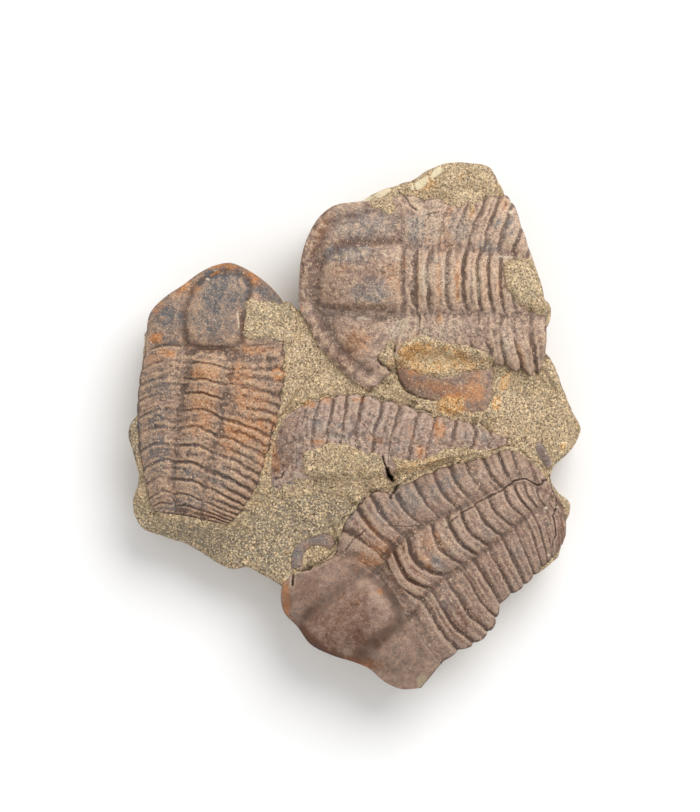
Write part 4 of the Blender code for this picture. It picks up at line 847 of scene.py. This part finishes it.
def move_to_depth(ring, places, wanted, farthest=0.4):
    """Move points in plan until they lie a wanted depth inside an outline."""
    places, small = places.copy(), 0.02
    for _ in range(3):
        here = depth_inside(*places, ring)
        slope = np.stack([depth_inside(places[0] + small, places[1], ring) - here,
                          depth_inside(places[0], places[1] + small, ring) - here]) / small
        slope /= np.maximum(np.hypot(*slope), 0.3)
        places += slope * np.clip(wanted - here, -farthest, farthest)
    return places


def flat_sheet(ring, cell):
    """A flat grid of cells, cut to an outline."""
    low, high = ring.min(0), ring.max(0)
    cells = np.maximum(((high - low) / cell).astype(int) + 2, 4)
    bm = bmesh.new()
    bmesh.ops.create_grid(bm, x_segments=int(cells[0]), y_segments=int(cells[1]), size=0.5)
    centre = (low + high) / 2
    for vert in bm.verts:
        vert.co.x = centre[0] + vert.co.x * cells[0] * cell
        vert.co.y = centre[1] + vert.co.y * cells[1] * cell
    middles = np.array([face.calc_center_median()[:2] for face in bm.faces]).T
    outside = depth_inside(*middles, ring) < 0
    bmesh.ops.delete(bm, geom=[face for face, out in zip(bm.faces, outside) if out], context="FACES")
    rim = [vert for vert in bm.verts if vert.is_boundary]
    for vert, (x, y) in zip(rim, move_to_depth(ring, plan_of(rim), 0.0, cell).T):
        vert.co.x, vert.co.y = x, y
    return bm


def shape_sheet(bm, z, marks):
    """Give a sheet its heights and a layer for each mark, and return the layers."""
    layers = {mark: bm.verts.layers.float.new(mark) for mark in marks}
    for k, vert in enumerate(bm.verts):
        vert.co.z = z[k]
        for mark, layer in layers.items():
            vert[layer] = marks[mark][k]
    return layers


def extrude_rim(bm, place):
    """Extrude a surface's open edge once. place gives the new points' positions."""
    made = bmesh.ops.extrude_edge_only(bm, edges=[edge for edge in bm.edges if edge.is_boundary])["geom"]
    verts = [item for item in made if isinstance(item, bmesh.types.BMVert)]
    for vert, position in zip(verts, place(verts)):
        vert.co = position


def even_foot(bm, passes):
    """Even out a surface's open edge in plan, so that it doesn't cross itself."""
    foot = [vert for vert in bm.verts if vert.is_boundary]
    for _ in range(passes):
        bmesh.ops.smooth_vert(bm, verts=foot, factor=0.5, use_axis_x=True, use_axis_y=True)


def close_rim(bm):
    bmesh.ops.holes_fill(bm, edges=[edge for edge in bm.edges if edge.is_boundary])
    bmesh.ops.remove_doubles(bm, verts=bm.verts, dist=1e-5)


def build_trilobite(key, material):
    """Model one trilobite as a crusted shell that stands on its rock filling."""
    x, y, z, marks = shell_surface(key)
    rows, columns = x.shape
    bm = bmesh.new()
    layers = {mark: bm.verts.layers.float.new(mark) for mark in marks}
    row_layer, column_layer = bm.verts.layers.int.new("row"), bm.verts.layers.int.new("column")
    bmesh.ops.create_grid(bm, x_segments=columns - 1, y_segments=rows - 1, size=0.5)
    for vert in bm.verts:
        i, j = round((vert.co.y + 0.5) * (rows - 1)), round((vert.co.x + 0.5) * (columns - 1))
        vert.co = (x[i, j], y[i, j], z[i, j])
        vert[row_layer], vert[column_layer] = i, j
        for mark, layer in layers.items():
            vert[layer] = marks[mark][i, j]

    # The crust's edge, its underside, and the filling below it, each set in by a number of cells,
    # more of them where the shell is narrow, so that the filling stays well inside the rock
    width = np.hypot(x[:, -1] - x[:, 0], y[:, -1] - y[:, 0])
    narrow = width.max() / np.maximum(width, 0.3 * width.max())
    for cells, drop in ((0, 0.2), (1, 0.4), (CRUST_CELLS, settings().crust / MM), (CRUST_CELLS, None)):
        def place(verts, cells=cells, drop=drop):
            for vert in verts:
                i = min(max(vert[row_layer], cells), rows - 1 - cells)
                inset = min(round(cells * narrow[i]), columns // 2 - 3)
                j = min(max(vert[column_layer], inset), columns - 1 - inset)
                yield x[i, j], y[i, j], SHELL_BED_Z if drop is None else z[i, j] - drop
        extrude_rim(bm, place)
    close_rim(bm)
    name = "trilobite_" + key
    return finish_piece(name + "_shell", bm, material, name)


def bit_outline(name):
    return ragged_ring(LOOSE_BITS[name][2], 90, 0.1, 0.8, (4, 9))


def build_loose_bit(name, material):
    """Model one loose bit of shell, arched, with a thin edge."""
    edge_z, rise, _ = LOOSE_BITS[name]
    ring = bit_outline(name)
    bm = flat_sheet(ring, settings().shell_cell / MM)
    x, y = plan_of(bm.verts)
    inside = np.clip(depth_inside(x, y, ring), 0, None)
    drop, dark = crack_marks(x, y)
    z = edge_z + rise * (1 - np.exp(-inside / 0.6)) - 0.3 * drop
    z += 0.14 * unevenness(x, y, 1.8, 3) + 0.03 * unevenness(x, y, 0.4, 8)
    # Here the mask of the painted shade and highlight is random noise, so it makes the bit darker and paler from
    # place to place
    shape_sheet(bm, z, {"hollow": 0.3 * unevenness(x, y, 0.8, 6), "grit": np.full(x.shape, 0.8),
                        "crack": 0.6 * dark, **stains_and_shading(x, y, iron=2, slate=3, chalk=4, umber=5)})
    for inward in (0.03, 0.1, 0.25, None):
        def place(verts, inward=inward):
            places = move_to_depth(ring, plan_of(verts), 0.25 if inward is None else inward)
            for (px, py), vert in zip(places.T, verts):
                yield px, py, BIT_BED_Z if inward is None else vert.co.z - 0.12
        extrude_rim(bm, place)
    even_foot(bm, 8)
    close_rim(bm)
    return finish_piece(name + "_crust", bm, material, name)


# The slab

def rock_height(x, y):
    """Height of the slab's bedding surface where no shell lies."""
    z = np.full(np.shape(x), ROCK_Z)
    for place_x, place_y, reach, rise in ROCK_SWELLS:
        z += rise * np.exp(-((x - place_x) ** 2 + (y - place_y) ** 2) / reach**2)
    return z


def rock_grain(x, y):
    """Small lumps of a broken rock face."""
    return (0.1 * unevenness(x, y, 2.6, 21) + 0.09 * unevenness(x, y, 0.9, 22)
            + 0.05 * unevenness(x, y, 0.35, 23, 2))


def height_under(pieces, x, y):
    """Height of the highest of some pieces at each point, or nothing where none lies."""
    height = np.full(x.shape, np.nan)
    for piece in pieces:
        bm = bmesh.new()
        bm.from_mesh(piece.data)
        tree = BVHTree.FromBMesh(bm)
        bm.free()
        corners = np.array([corner[:2] for corner in piece.bound_box]) / MM
        low, high = corners.min(0), corners.max(0)
        for k in np.nonzero((x > low[0]) & (x < high[0]) & (y > low[1]) & (y < high[1]))[0]:
            hit = tree.ray_cast(Vector((x[k] * MM, y[k] * MM, 1.0)), Vector((0, 0, -1)))[0]
            if hit:
                height[k] = np.nanmax([height[k], hit.z / MM])
    return height


def slab_outline():
    """The slab's outline, roughened, and set in a little where a shell reaches over it."""
    ring = ragged_ring(SLAB_OUTLINE, 900, 0.13, 1.1, (31, 37))
    tangent = np.roll(ring, -3, axis=0) - np.roll(ring, 3, axis=0)
    inward = np.stack([tangent[:, 1], -tangent[:, 0]], 1) / np.hypot(*tangent.T)[:, None]
    covered = deepest_inside(*ring.T, [shell_rim(key)[:, :2] for key in TRILOBITES])
    return ring + inward * (0.45 * step(-0.7, -0.05, covered))[:, None]


def nearest_edge(x, y):
    """Distance to the nearest shell's edge, and the height there for the rock to rise or fall to."""
    edges = []
    for key, drop in EDGE_DROPS.items():
        edges += [(px, py, pz - drop) for px, py, pz in shell_rim(key)]
    for name, (edge_z, _, _) in LOOSE_BITS.items():
        edges += [(px, py, edge_z + 0.08) for px, py in bit_outline(name)]
    tree = KDTree(len(edges))
    for k, (px, py, pz) in enumerate(edges):
        tree.insert((px, py, 0), k)
    tree.balance()
    nearest = [tree.find((px, py, 0)) for px, py in zip(x, y)]
    return np.array([distance for _, _, distance in nearest]), np.array([edges[k][2] for _, k, _ in nearest])


def build_slab(shells, material):
    """Model the slab: a bedding surface that meets the shells' edges and dips under them, and broken sides."""
    crust, shell_cell, slab_cell = (getattr(settings(), name) / MM for name in ("crust", "shell_cell", "slab_cell"))
    ring = slab_outline()[::3]
    bm = flat_sheet(ring, slab_cell)
    x, y = plan_of(bm.verts)
    from_side = np.clip(depth_inside(x, y, ring), 0, None)
    shell_z = height_under(shells, x, y)
    under = deepest_inside(x, y, [shell_rim(key)[:, :2] for key in TRILOBITES])
    bits = deepest_inside(x, y, [bit_outline(name) for name in LOOSE_BITS])
    covered = ~np.isnan(shell_z) & (np.maximum(under, bits) > 0)

    from_shell, edge_z = nearest_edge(x, y)
    rock, near = rock_height(x, y), bell(from_shell, 2.2)
    bare = rock + (edge_z - rock) * near + rock_grain(x, y) * (1 - 0.5 * near) - 0.5 * np.exp(-from_side / 0.4)
    tucked = np.nan_to_num(shell_z) - TUCK - (crust - 0.02) * step(0.05, 0.25, np.maximum(under, bits))
    tucked = np.where(bits > 0.75, BIT_BED_Z - BED_GAP, tucked)
    tucked = np.where(under > CRUST_CELLS * shell_cell - 0.25, SHELL_BED_Z - BED_GAP, tucked)
    z = np.where(covered, tucked, bare)
    drop, dark = crack_marks(x, y)
    z -= drop * ~covered
    # Painted shade where the rock lies below its bare height: under the shells' edges and in cracks
    layers = shape_sheet(bm, z, {"hollow": np.clip((bare - z) / 0.4, 0, 1), "crack": dark,
                                 **stains_and_shading(x, y, iron=12, slate=13, chalk=14, olive=15), "side": 0 * z, "top": z})

    # Broken sides, which lean in towards the flat underside
    for fraction in np.arange(1, SIDE_STEPS + 1) / SIDE_STEPS:
        def place(verts, fraction=float(fraction)):
            places = plan_of(verts)
            level = np.array([vert[layers["top"]] for vert in verts]) * (1 - fraction)
            rough = unevenness(places[0] + 0.9 * level, places[1] - 0.9 * level, 1.6, 51)
            rough += 0.8 * unevenness(0.3 * places[0] + 0.2 * places[1], 2.2 * level, 1.5, 53)
            lean = 0.08 + 2.56 * max(0.0, fraction - 0.75)
            bulge = 0.32 * math.sin(math.pi * fraction) ** 0.5 * np.clip(1 + rough, 0, 2)
            places = move_to_depth(ring, places, lean + bulge)
            for vert, px, py, pz in zip(verts, *places, level):
                vert[layers["side"]] = min(1.0, fraction * 5)
                for mark in ("crack", "iron", "chalk", "slate", "olive"):
                    vert[layers[mark]] *= 0.5
                yield px, py, pz
        extrude_rim(bm, place)
    even_foot(bm, 20)
    close_rim(bm)
    return finish_piece("siltstone_slab", bm, material, "matrix_slab")


def build_film(name, pieces, material):
    """Model a thin film of rock that was left on top of the shells."""
    thickness, outline = FILMS[name]
    ring = ragged_ring(outline, 260, 0.38, 1.1, (41, 42))
    bm = flat_sheet(ring, FILM_CELL)
    x, y = plan_of(bm.verts)
    below = height_under(pieces, x, y)
    inside = np.clip(depth_inside(x, y, ring), 0, None)
    drop, dark = crack_marks(x, y)
    raised = thickness * (1 - np.exp(-inside / 0.3)) + (rock_grain(x, y) + 0.03) * step(0.0, 0.3, inside)
    bare = np.isnan(below)
    below = np.where(bare, np.nanmin(below), below)
    # Painted shade along the film's thin edge
    shape_sheet(bm, below, {"hollow": 0.3 * np.exp(-inside / 0.08), "crack": dark, "slate": 0 * below,
                            "side": 0 * below, **stains_and_shading(x, y, iron=12, chalk=14, olive=15)})
    missing = {vert for vert, gone in zip(bm.verts, bare) if gone}
    # The film fills the hollows below it: its top is evened out, but never sinks into what carries it
    inner = [vert for vert in bm.verts if not vert.is_boundary]
    for _ in range(FILM_SMOOTHING):
        bmesh.ops.smooth_vert(bm, verts=inner, factor=0.5, use_axis_z=True)
    for k, vert in enumerate(bm.verts):
        vert.co.z = max(vert.co.z, below[k]) + max(raised[k], 0.01) - 0.6 * drop[k]
    floor = {(round(vert.co.x, 4), round(vert.co.y, 4)): below[k] for k, vert in enumerate(bm.verts)}
    bmesh.ops.delete(bm, geom=[face for face in bm.faces if missing.intersection(face.verts)], context="FACES")
    under = bmesh.ops.duplicate(bm, geom=bm.faces[:] + bm.edges[:] + bm.verts[:])["geom"]
    for vert in under:
        if isinstance(vert, bmesh.types.BMVert):
            vert.co.z = min(vert.co.z, floor[round(vert.co.x, 4), round(vert.co.y, 4)]) - FILM_OVERLAP
    bmesh.ops.bridge_loops(bm, edges=[edge for edge in bm.edges if edge.is_boundary])
    return finish_piece("rock_film_" + name, bm, material, "matrix_slab")


# Materials

def fill(tree, node, values):
    """Give a node's sockets their values or links, by number or name."""
    for socket, value in values.items():
        if isinstance(value, bpy.types.NodeSocket):
            tree.links.new(value, node.inputs[socket])
        else:
            node.inputs[socket].default_value = value


def add(tree, kind, values=None, **options):
    """Add a node, with its options and its sockets' values or links."""
    node = tree.nodes.new(kind)
    for name, value in options.items():
        setattr(node, name, value)
    fill(tree, node, values or {})
    return node


def noise(tree, place, width, detail, roughness=0.5):
    """Noise whose lumps are about width metres wide."""
    values = {"Vector": place, "Scale": 1 / width, "Detail": detail, "Roughness": roughness}
    return add(tree, "ShaderNodeTexNoise", values).outputs["Fac"]


def grains(tree, place, width):
    """Three random values for each grain, of grains about width metres wide."""
    cells = add(tree, "ShaderNodeTexVoronoi", {"Vector": place, "Scale": 1 / width})
    return add(tree, "ShaderNodeSeparateColor", {0: cells.outputs["Color"]}).outputs


def plus(tree, term, value, factor):
    """A term plus a value times a factor."""
    return add(tree, "ShaderNodeMath", {0: value, 1: factor, 2: term}, operation="MULTIPLY_ADD").outputs[0]


def times(tree, value, factor):
    return add(tree, "ShaderNodeMath", {0: value, 1: factor}, operation="MULTIPLY").outputs[0]


def ranged(tree, value, low, high, to_low, to_high):
    """A value from one range put in another."""
    return add(tree, "ShaderNodeMapRange", {0: value, 1: low, 2: high, 3: to_low, 4: to_high}).outputs[0]


def scaled(tree, colour, factor):
    return add(tree, "ShaderNodeVectorMath", {0: colour, "Scale": factor}, operation="SCALE").outputs[0]


def layer_colours(tree, colour, layers):
    """Lay colours over one another. layers: mask, the mask's range, most strength and colour."""
    for mask, low, high, most, over in layers:
        over = linear(over) if isinstance(over, str) else over
        values = {0: ranged(tree, mask, low, high, 0.0, most), 6: colour, 7: over}
        colour = add(tree, "ShaderNodeMix", values, data_type="RGBA").outputs[2]
    return colour


def new_material(name, marks):
    """A material, its node tree, its shader, and sockets for places and for the marks on a piece."""
    material = bpy.data.materials.new(name)
    material.use_nodes = True
    tree = material.node_tree
    place = add(tree, "ShaderNodeTexCoord").outputs["Object"]
    found = {mark: add(tree, "ShaderNodeAttribute", attribute_name=mark).outputs["Fac"] for mark in marks}
    return material, tree, tree.nodes["Principled BSDF"], place, found


def shell_material(name, base, colours, look):
    """Limonite-stained cast of the shell: matt, gritty and mottled brown, with a painted orange highlight on crests
    and painted shade in furrows.
    """
    marks = ("hollow", "grit", "crack", "iron", "slate", "chalk", "olive", "umber")
    material, tree, shader, place, mark = new_material(name, marks)
    cloud = noise(tree, place, 2.6 * MM, 3.0)
    mottle = noise(tree, place, 0.7 * MM, 4.0, 0.7)
    dust = noise(tree, place, 0.2 * MM, 2.0, 0.7)
    # Grains are drawn 0.14 mm wide, coarser than real, so that they show
    tint = grains(tree, place, settings().shell_grain)
    iron = plus(tree, plus(tree, mark["iron"], mottle, 1.6), dust, 0.8)
    colour = layer_colours(tree, linear(colours["dull"]), [
        (cloud, 0.35, 0.65, 1.0, base),
        (mottle, 0.5, 0.68, 0.8, colours["pale"]),
        (mottle, 0.5, 0.32, 0.85, colours["dark"]),
        (iron, 1.2, 2.0, 0.9, colours["iron"]),
        # Slate and umber: real blue-grey and red-brown stains, and in places painted shade on flanks, in furrows and
        # on the shaded side of the lower trilobite's glabella
        (plus(tree, mark["slate"], mottle, -1.0), -0.45, 0.35, 0.95, colours["slate"]),
        (plus(tree, mark["umber"], mottle, 0.7), 0.35, 1.3, 0.9, "5F3822"),
        (mark["olive"], 0.2, 0.8, 0.8, "A4957A"),
        # Painted shade in the hollows and a painted highlight on the crests, broken up by the mottle and the dust
        (plus(tree, mark["hollow"], mottle, 0.9), 0.5, 1.15, 0.75, colours["furrow"]),
        (plus(tree, mark["hollow"], dust, -1.2), -0.6, -1.4, 0.7, colours["crest_highlight"]),
        (plus(tree, tint[1], mark["grit"], 0.08), 1.01, 1.05, 0.6, "D9BFA2"),
        (tint[2], 0.93, 0.97, 0.45, "5A4436"),
    ])
    # Dust makes it darker and paler from place to place, less so on the smooth heads
    shade = plus(tree, ranged(tree, tint[0], 0, 1, 1 - look["grain"], 1 + look["grain"]), dust, look["dust"])
    shade = add(tree, "ShaderNodeMath", {0: shade, 1: look["dust"] / 2}, operation="SUBTRACT").outputs[0]
    shade = add(tree, "ShaderNodeMix", {0: mark["grit"], 2: 1.0, 3: shade}).outputs[0]
    # Chalk: pale grains and films, and painted highlights on the ridges of the upper trilobite's rings; cracks get a
    # near-black painted shade
    chalk = plus(tree, mark["chalk"], dust, 1.5)
    colour = layer_colours(tree, scaled(tree, colour, shade),
                           [(chalk, 1.05, 1.6, 0.9, "DDCDB4"), (mark["crack"], 0.3, 1.0, 0.9, "2A1F18")])
    relief = times(tree, plus(tree, dust, mottle, 1.9), mark["grit"])
    bump = add(tree, "ShaderNodeBump", {"Height": relief, "Strength": look["bump"], "Distance": 0.15 * MM})
    fill(tree, shader, {
        "Base Color": colour,
        "Roughness": ranged(tree, mottle, 0.3, 0.7, look["rough"] - 0.06, look["rough"] + 0.08),
        "Specular IOR Level": 0.3,
        "Normal": bump.outputs["Normal"],
    })
    return material


def cast_material(name, key, look):
    """The finish of one piece of shell, in the colours of one of the trilobites."""
    return shell_material("limonite_cast_" + name, getattr(settings(), key + "_colour"), SHELL_COLOURS[key], look)


def siltstone_material(name):
    """Siltstone, broken and brushed clean: matt tan rock with pale and dark grains and painted glints, painted shade
    under the shells' edges and in cracks, and tints that are partly painted shade on the lower left.
    """
    marks = ("hollow", "crack", "iron", "slate", "chalk", "olive", "side")
    material, tree, shader, place, mark = new_material(name, marks)
    cloud = noise(tree, place, 4.0 * MM, 4.0)
    mottle = noise(tree, place, 0.8 * MM, 3.0, 0.65)
    dust = noise(tree, place, 0.22 * MM, 2.0, 0.7)
    # Grains are drawn 0.15 mm wide, coarser than silt, so that they show
    tint = grains(tree, place, settings().rock_grain)
    colour = layer_colours(tree, settings().rock_colour, [
        (cloud, 0.35, 0.65, 1.0, "B7A287"),
        # Olive and slate: real tints, and painted shade on the lower left, where the slab slopes away from the key
        # light
        (mark["olive"], 0.1, 0.9, 0.75, "9A907A"),
        (mark["slate"], 0.1, 1.0, 0.8, "877D6E"),
        (plus(tree, mark["iron"], mottle, 1.6), 0.9, 1.8, 0.9, "D29A5C"),
        (mark["side"], 0.0, 1.0, 0.45, "8C7A62"),
        (tint[0], 0.5, 0.95, 0.85, "E6C99C"),
        (tint[1], 0.6, 1.0, 0.85, "5E4B38"),
    ])
    # Dust makes it darker and paler from place to place, less so in calm patches
    shade = ranged(tree, dust, 0.3, 0.7, 0.42, 1.64)
    calm = ranged(tree, cloud, 0.4, 0.6, 0.6, 1.0)
    shade = add(tree, "ShaderNodeMix", {0: calm, 2: 1.0, 3: shade}).outputs[0]
    shade = times(tree, shade, ranged(tree, mottle, 0.25, 0.75, 0.86, 1.12))
    colour = layer_colours(tree, scaled(tree, colour, shade), [
        # Painted glints: a few tiny grains made nearly white
        (tint[2], 0.975, 0.98, 0.6, "F0E2C4"),
        (plus(tree, mark["chalk"], dust, 1.5), 1.05, 1.6, 0.85, "EADBB8"),
        # Painted shade where the rock dips under the shells and in cracks; the cracks also get a near-black painted
        # shade below
        (mark["hollow"], 0.1, 1.0, 0.5, "4E3F30"),
        (mark["crack"], 0.3, 1.0, 0.9, "241A13"),
    ])
    relief = plus(tree, dust, mottle, 0.7)
    bump = add(tree, "ShaderNodeBump", {"Height": relief, "Strength": 1.0, "Distance": 0.16 * MM})
    fill(tree, shader, {"Base Color": colour, "Roughness": 0.92, "Specular IOR Level": 0.25,
                        "Normal": bump.outputs["Normal"]})
    return material


# Each trilobite's colours: furrow is painted shade laid in the hollows, and crest a painted highlight laid on the
# crests
SHELL_COLOURS = {
    "upper": {"dull": "9E8576", "pale": "D3BDAC", "dark": "776154", "iron": "C08A60", "slate": "86817E",
              "furrow": "6F5B50", "crest_highlight": "D6B89C"},
    "left": {"dull": "8C7668", "pale": "C0A896", "dark": "756257", "iron": "C48450", "slate": "606163",
             "furrow": "5C493E", "crest_highlight": "CEAB8C"},
    "middle": {"dull": "948075", "pale": "BDA697", "dark": "776459", "iron": "C58654", "slate": "827D7A",
               "furrow": "624F46", "crest_highlight": "C8AF9D"},
    "lower": {"dull": "866F60", "pale": "AD978A", "dark": "6D5A50", "iron": "B47A4E", "slate": "76716E",
              "furrow": "503F37", "crest_highlight": "BFA48F"},
}
# How strongly the grains and the dust show, the mean roughness, and the strength of the fine relief
SHELL_LOOKS = {
    "upper": {"grain": 0.24, "dust": 1.2, "rough": 0.78, "bump": 1.0},
    "left": {"grain": 0.26, "dust": 1.15, "rough": 0.78, "bump": 1.0},
    "middle": {"grain": 0.22, "dust": 1.1, "rough": 0.76, "bump": 0.9},
    "lower": {"grain": 0.2, "dust": 1.0, "rough": 0.7, "bump": 0.8},
}


# The stage

def build_stage():
    """Lay a pale floor, light it softly from the top right of the picture, and look straight down."""
    scene = bpy.context.scene
    scene.world = bpy.data.worlds.new("studio")
    scene.world.use_nodes = True
    sky = scene.world.node_tree
    fill(sky, sky.nodes["Background"], {"Color": (1, 1, 1, 1), "Strength": SKY_STRENGTH})
    scene.view_settings.view_transform = "Standard"

    bm = bmesh.new()
    bmesh.ops.create_grid(bm, x_segments=1, y_segments=1, size=FLOOR_HALF_WIDTH)
    mesh = bpy.data.meshes.new("floor")
    bm.to_mesh(mesh)
    bm.free()
    # Matt paper, nearly white: a plain ground that the slab and its soft shadow stand out from
    material = bpy.data.materials.new("white_paper")
    material.use_nodes = True
    tree = material.node_tree
    fill(tree, tree.nodes["Principled BSDF"],
         {"Base Color": settings().floor_colour, "Roughness": 0.9, "Specular IOR Level": 0.1})
    mesh.materials.append(material)
    floor = show("floor", mesh)

    for name, (azimuth, elevation, size) in LAMPS.items():
        light = bpy.data.lights.new(name, "AREA")
        light.shape = "DISK"
        light.size = size
        light.energy = getattr(settings(), name + "_power")
        lamp = show(name, light)
        turn, lift = math.radians(azimuth), math.radians(elevation)
        direction = Vector((math.sin(turn) * math.cos(lift), math.cos(turn) * math.cos(lift), math.sin(lift)))
        lamp.location = direction * LAMP_DISTANCE
        lamp.rotation_euler = direction.to_track_quat("Z", "Y").to_euler()
        lamp.visible_camera = False

    camera = bpy.data.cameras.new("camera")
    distance = settings().camera_distance
    camera.sensor_width = SENSOR
    camera.lens = SENSOR * distance / (PICTURE_HEIGHT * MM)
    camera.clip_end = 10.0
    holder = show("camera", camera)
    holder.location = (CAMERA_PLACE[0] * MM, CAMERA_PLACE[1] * MM, SHELL_LEVEL * MM + distance)
    scene.camera = holder


class FOSSIL_OT_trilobites(bpy.types.Operator):
    """Model the four trilobites"""
    bl_idname = "fossil.trilobites"
    bl_label = "Trilobites"

    def execute(self, context):
        shell_surface.cache_clear()
        shell_rim.cache_clear()
        for key in TRILOBITES:
            build_trilobite(key, cast_material(key, key, SHELL_LOOKS[key]))
        return {"FINISHED"}


class FOSSIL_OT_loose_bits(bpy.types.Operator):
    """Model the loose bits of shell"""
    bl_idname = "fossil.loose_bits"
    bl_label = "Loose bits of shell"

    def execute(self, context):
        like = {"cheek_fragment": "left", "shell_band": "lower", "shell_sliver": "upper"}
        for name, key in like.items():
            build_loose_bit(name, cast_material(name, key, SHELL_LOOKS["lower"]))
        return {"FINISHED"}


class FOSSIL_OT_slab(bpy.types.Operator):
    """Model the slab around the shells, and the films of rock on them"""
    bl_idname = "fossil.slab"
    bl_label = "Slab"

    def execute(self, context):
        shells = [piece for piece in bpy.data.objects if piece.name.endswith(("_shell", "_crust"))]
        if len(shells) != len(TRILOBITES) + len(LOOSE_BITS):
            raise RuntimeError("The slab needs the trilobites and the loose bits, and they are made first")
        material = siltstone_material("broken_siltstone")
        slab = build_slab(shells, material)
        for name in FILMS:
            build_film(name, shells + [slab], material)
        return {"FINISHED"}


class FOSSIL_OT_stage(bpy.types.Operator):
    """Set up the floor, the lights and the camera"""
    bl_idname = "fossil.stage"
    bl_label = "Stage"

    def execute(self, context):
        build_stage()
        return {"FINISHED"}


class FOSSIL_PT_panel(bpy.types.Panel):
    """Lists the steps in the sidebar"""
    bl_idname = "FOSSIL_PT_panel"
    bl_label = "Trilobite Slab"
    bl_space_type = "VIEW_3D"
    bl_region_type = "UI"
    bl_category = "Fossil"

    def draw(self, context):
        for operator in OPERATORS:
            self.layout.operator(operator.bl_idname)
        for setting in FOSSIL_PG_settings.__annotations__:
            self.layout.prop(context.scene.fossil, setting)


OPERATORS = (FOSSIL_OT_trilobites, FOSSIL_OT_loose_bits, FOSSIL_OT_slab, FOSSIL_OT_stage)
CLASSES = (FOSSIL_PG_settings,) + OPERATORS + (FOSSIL_PT_panel,)


def register():
    for item in CLASSES:
        bpy.utils.register_class(item)
    bpy.types.Scene.fossil = bpy.props.PointerProperty(type=FOSSIL_PG_settings)


def unregister():
    del bpy.types.Scene.fossil
    for item in reversed(CLASSES):
        bpy.utils.unregister_class(item)


def main():
    register()
    bpy.ops.fossil.trilobites()
    bpy.ops.fossil.loose_bits()
    bpy.ops.fossil.slab()
    bpy.ops.fossil.stage()


if __name__ == "__main__":
    main()
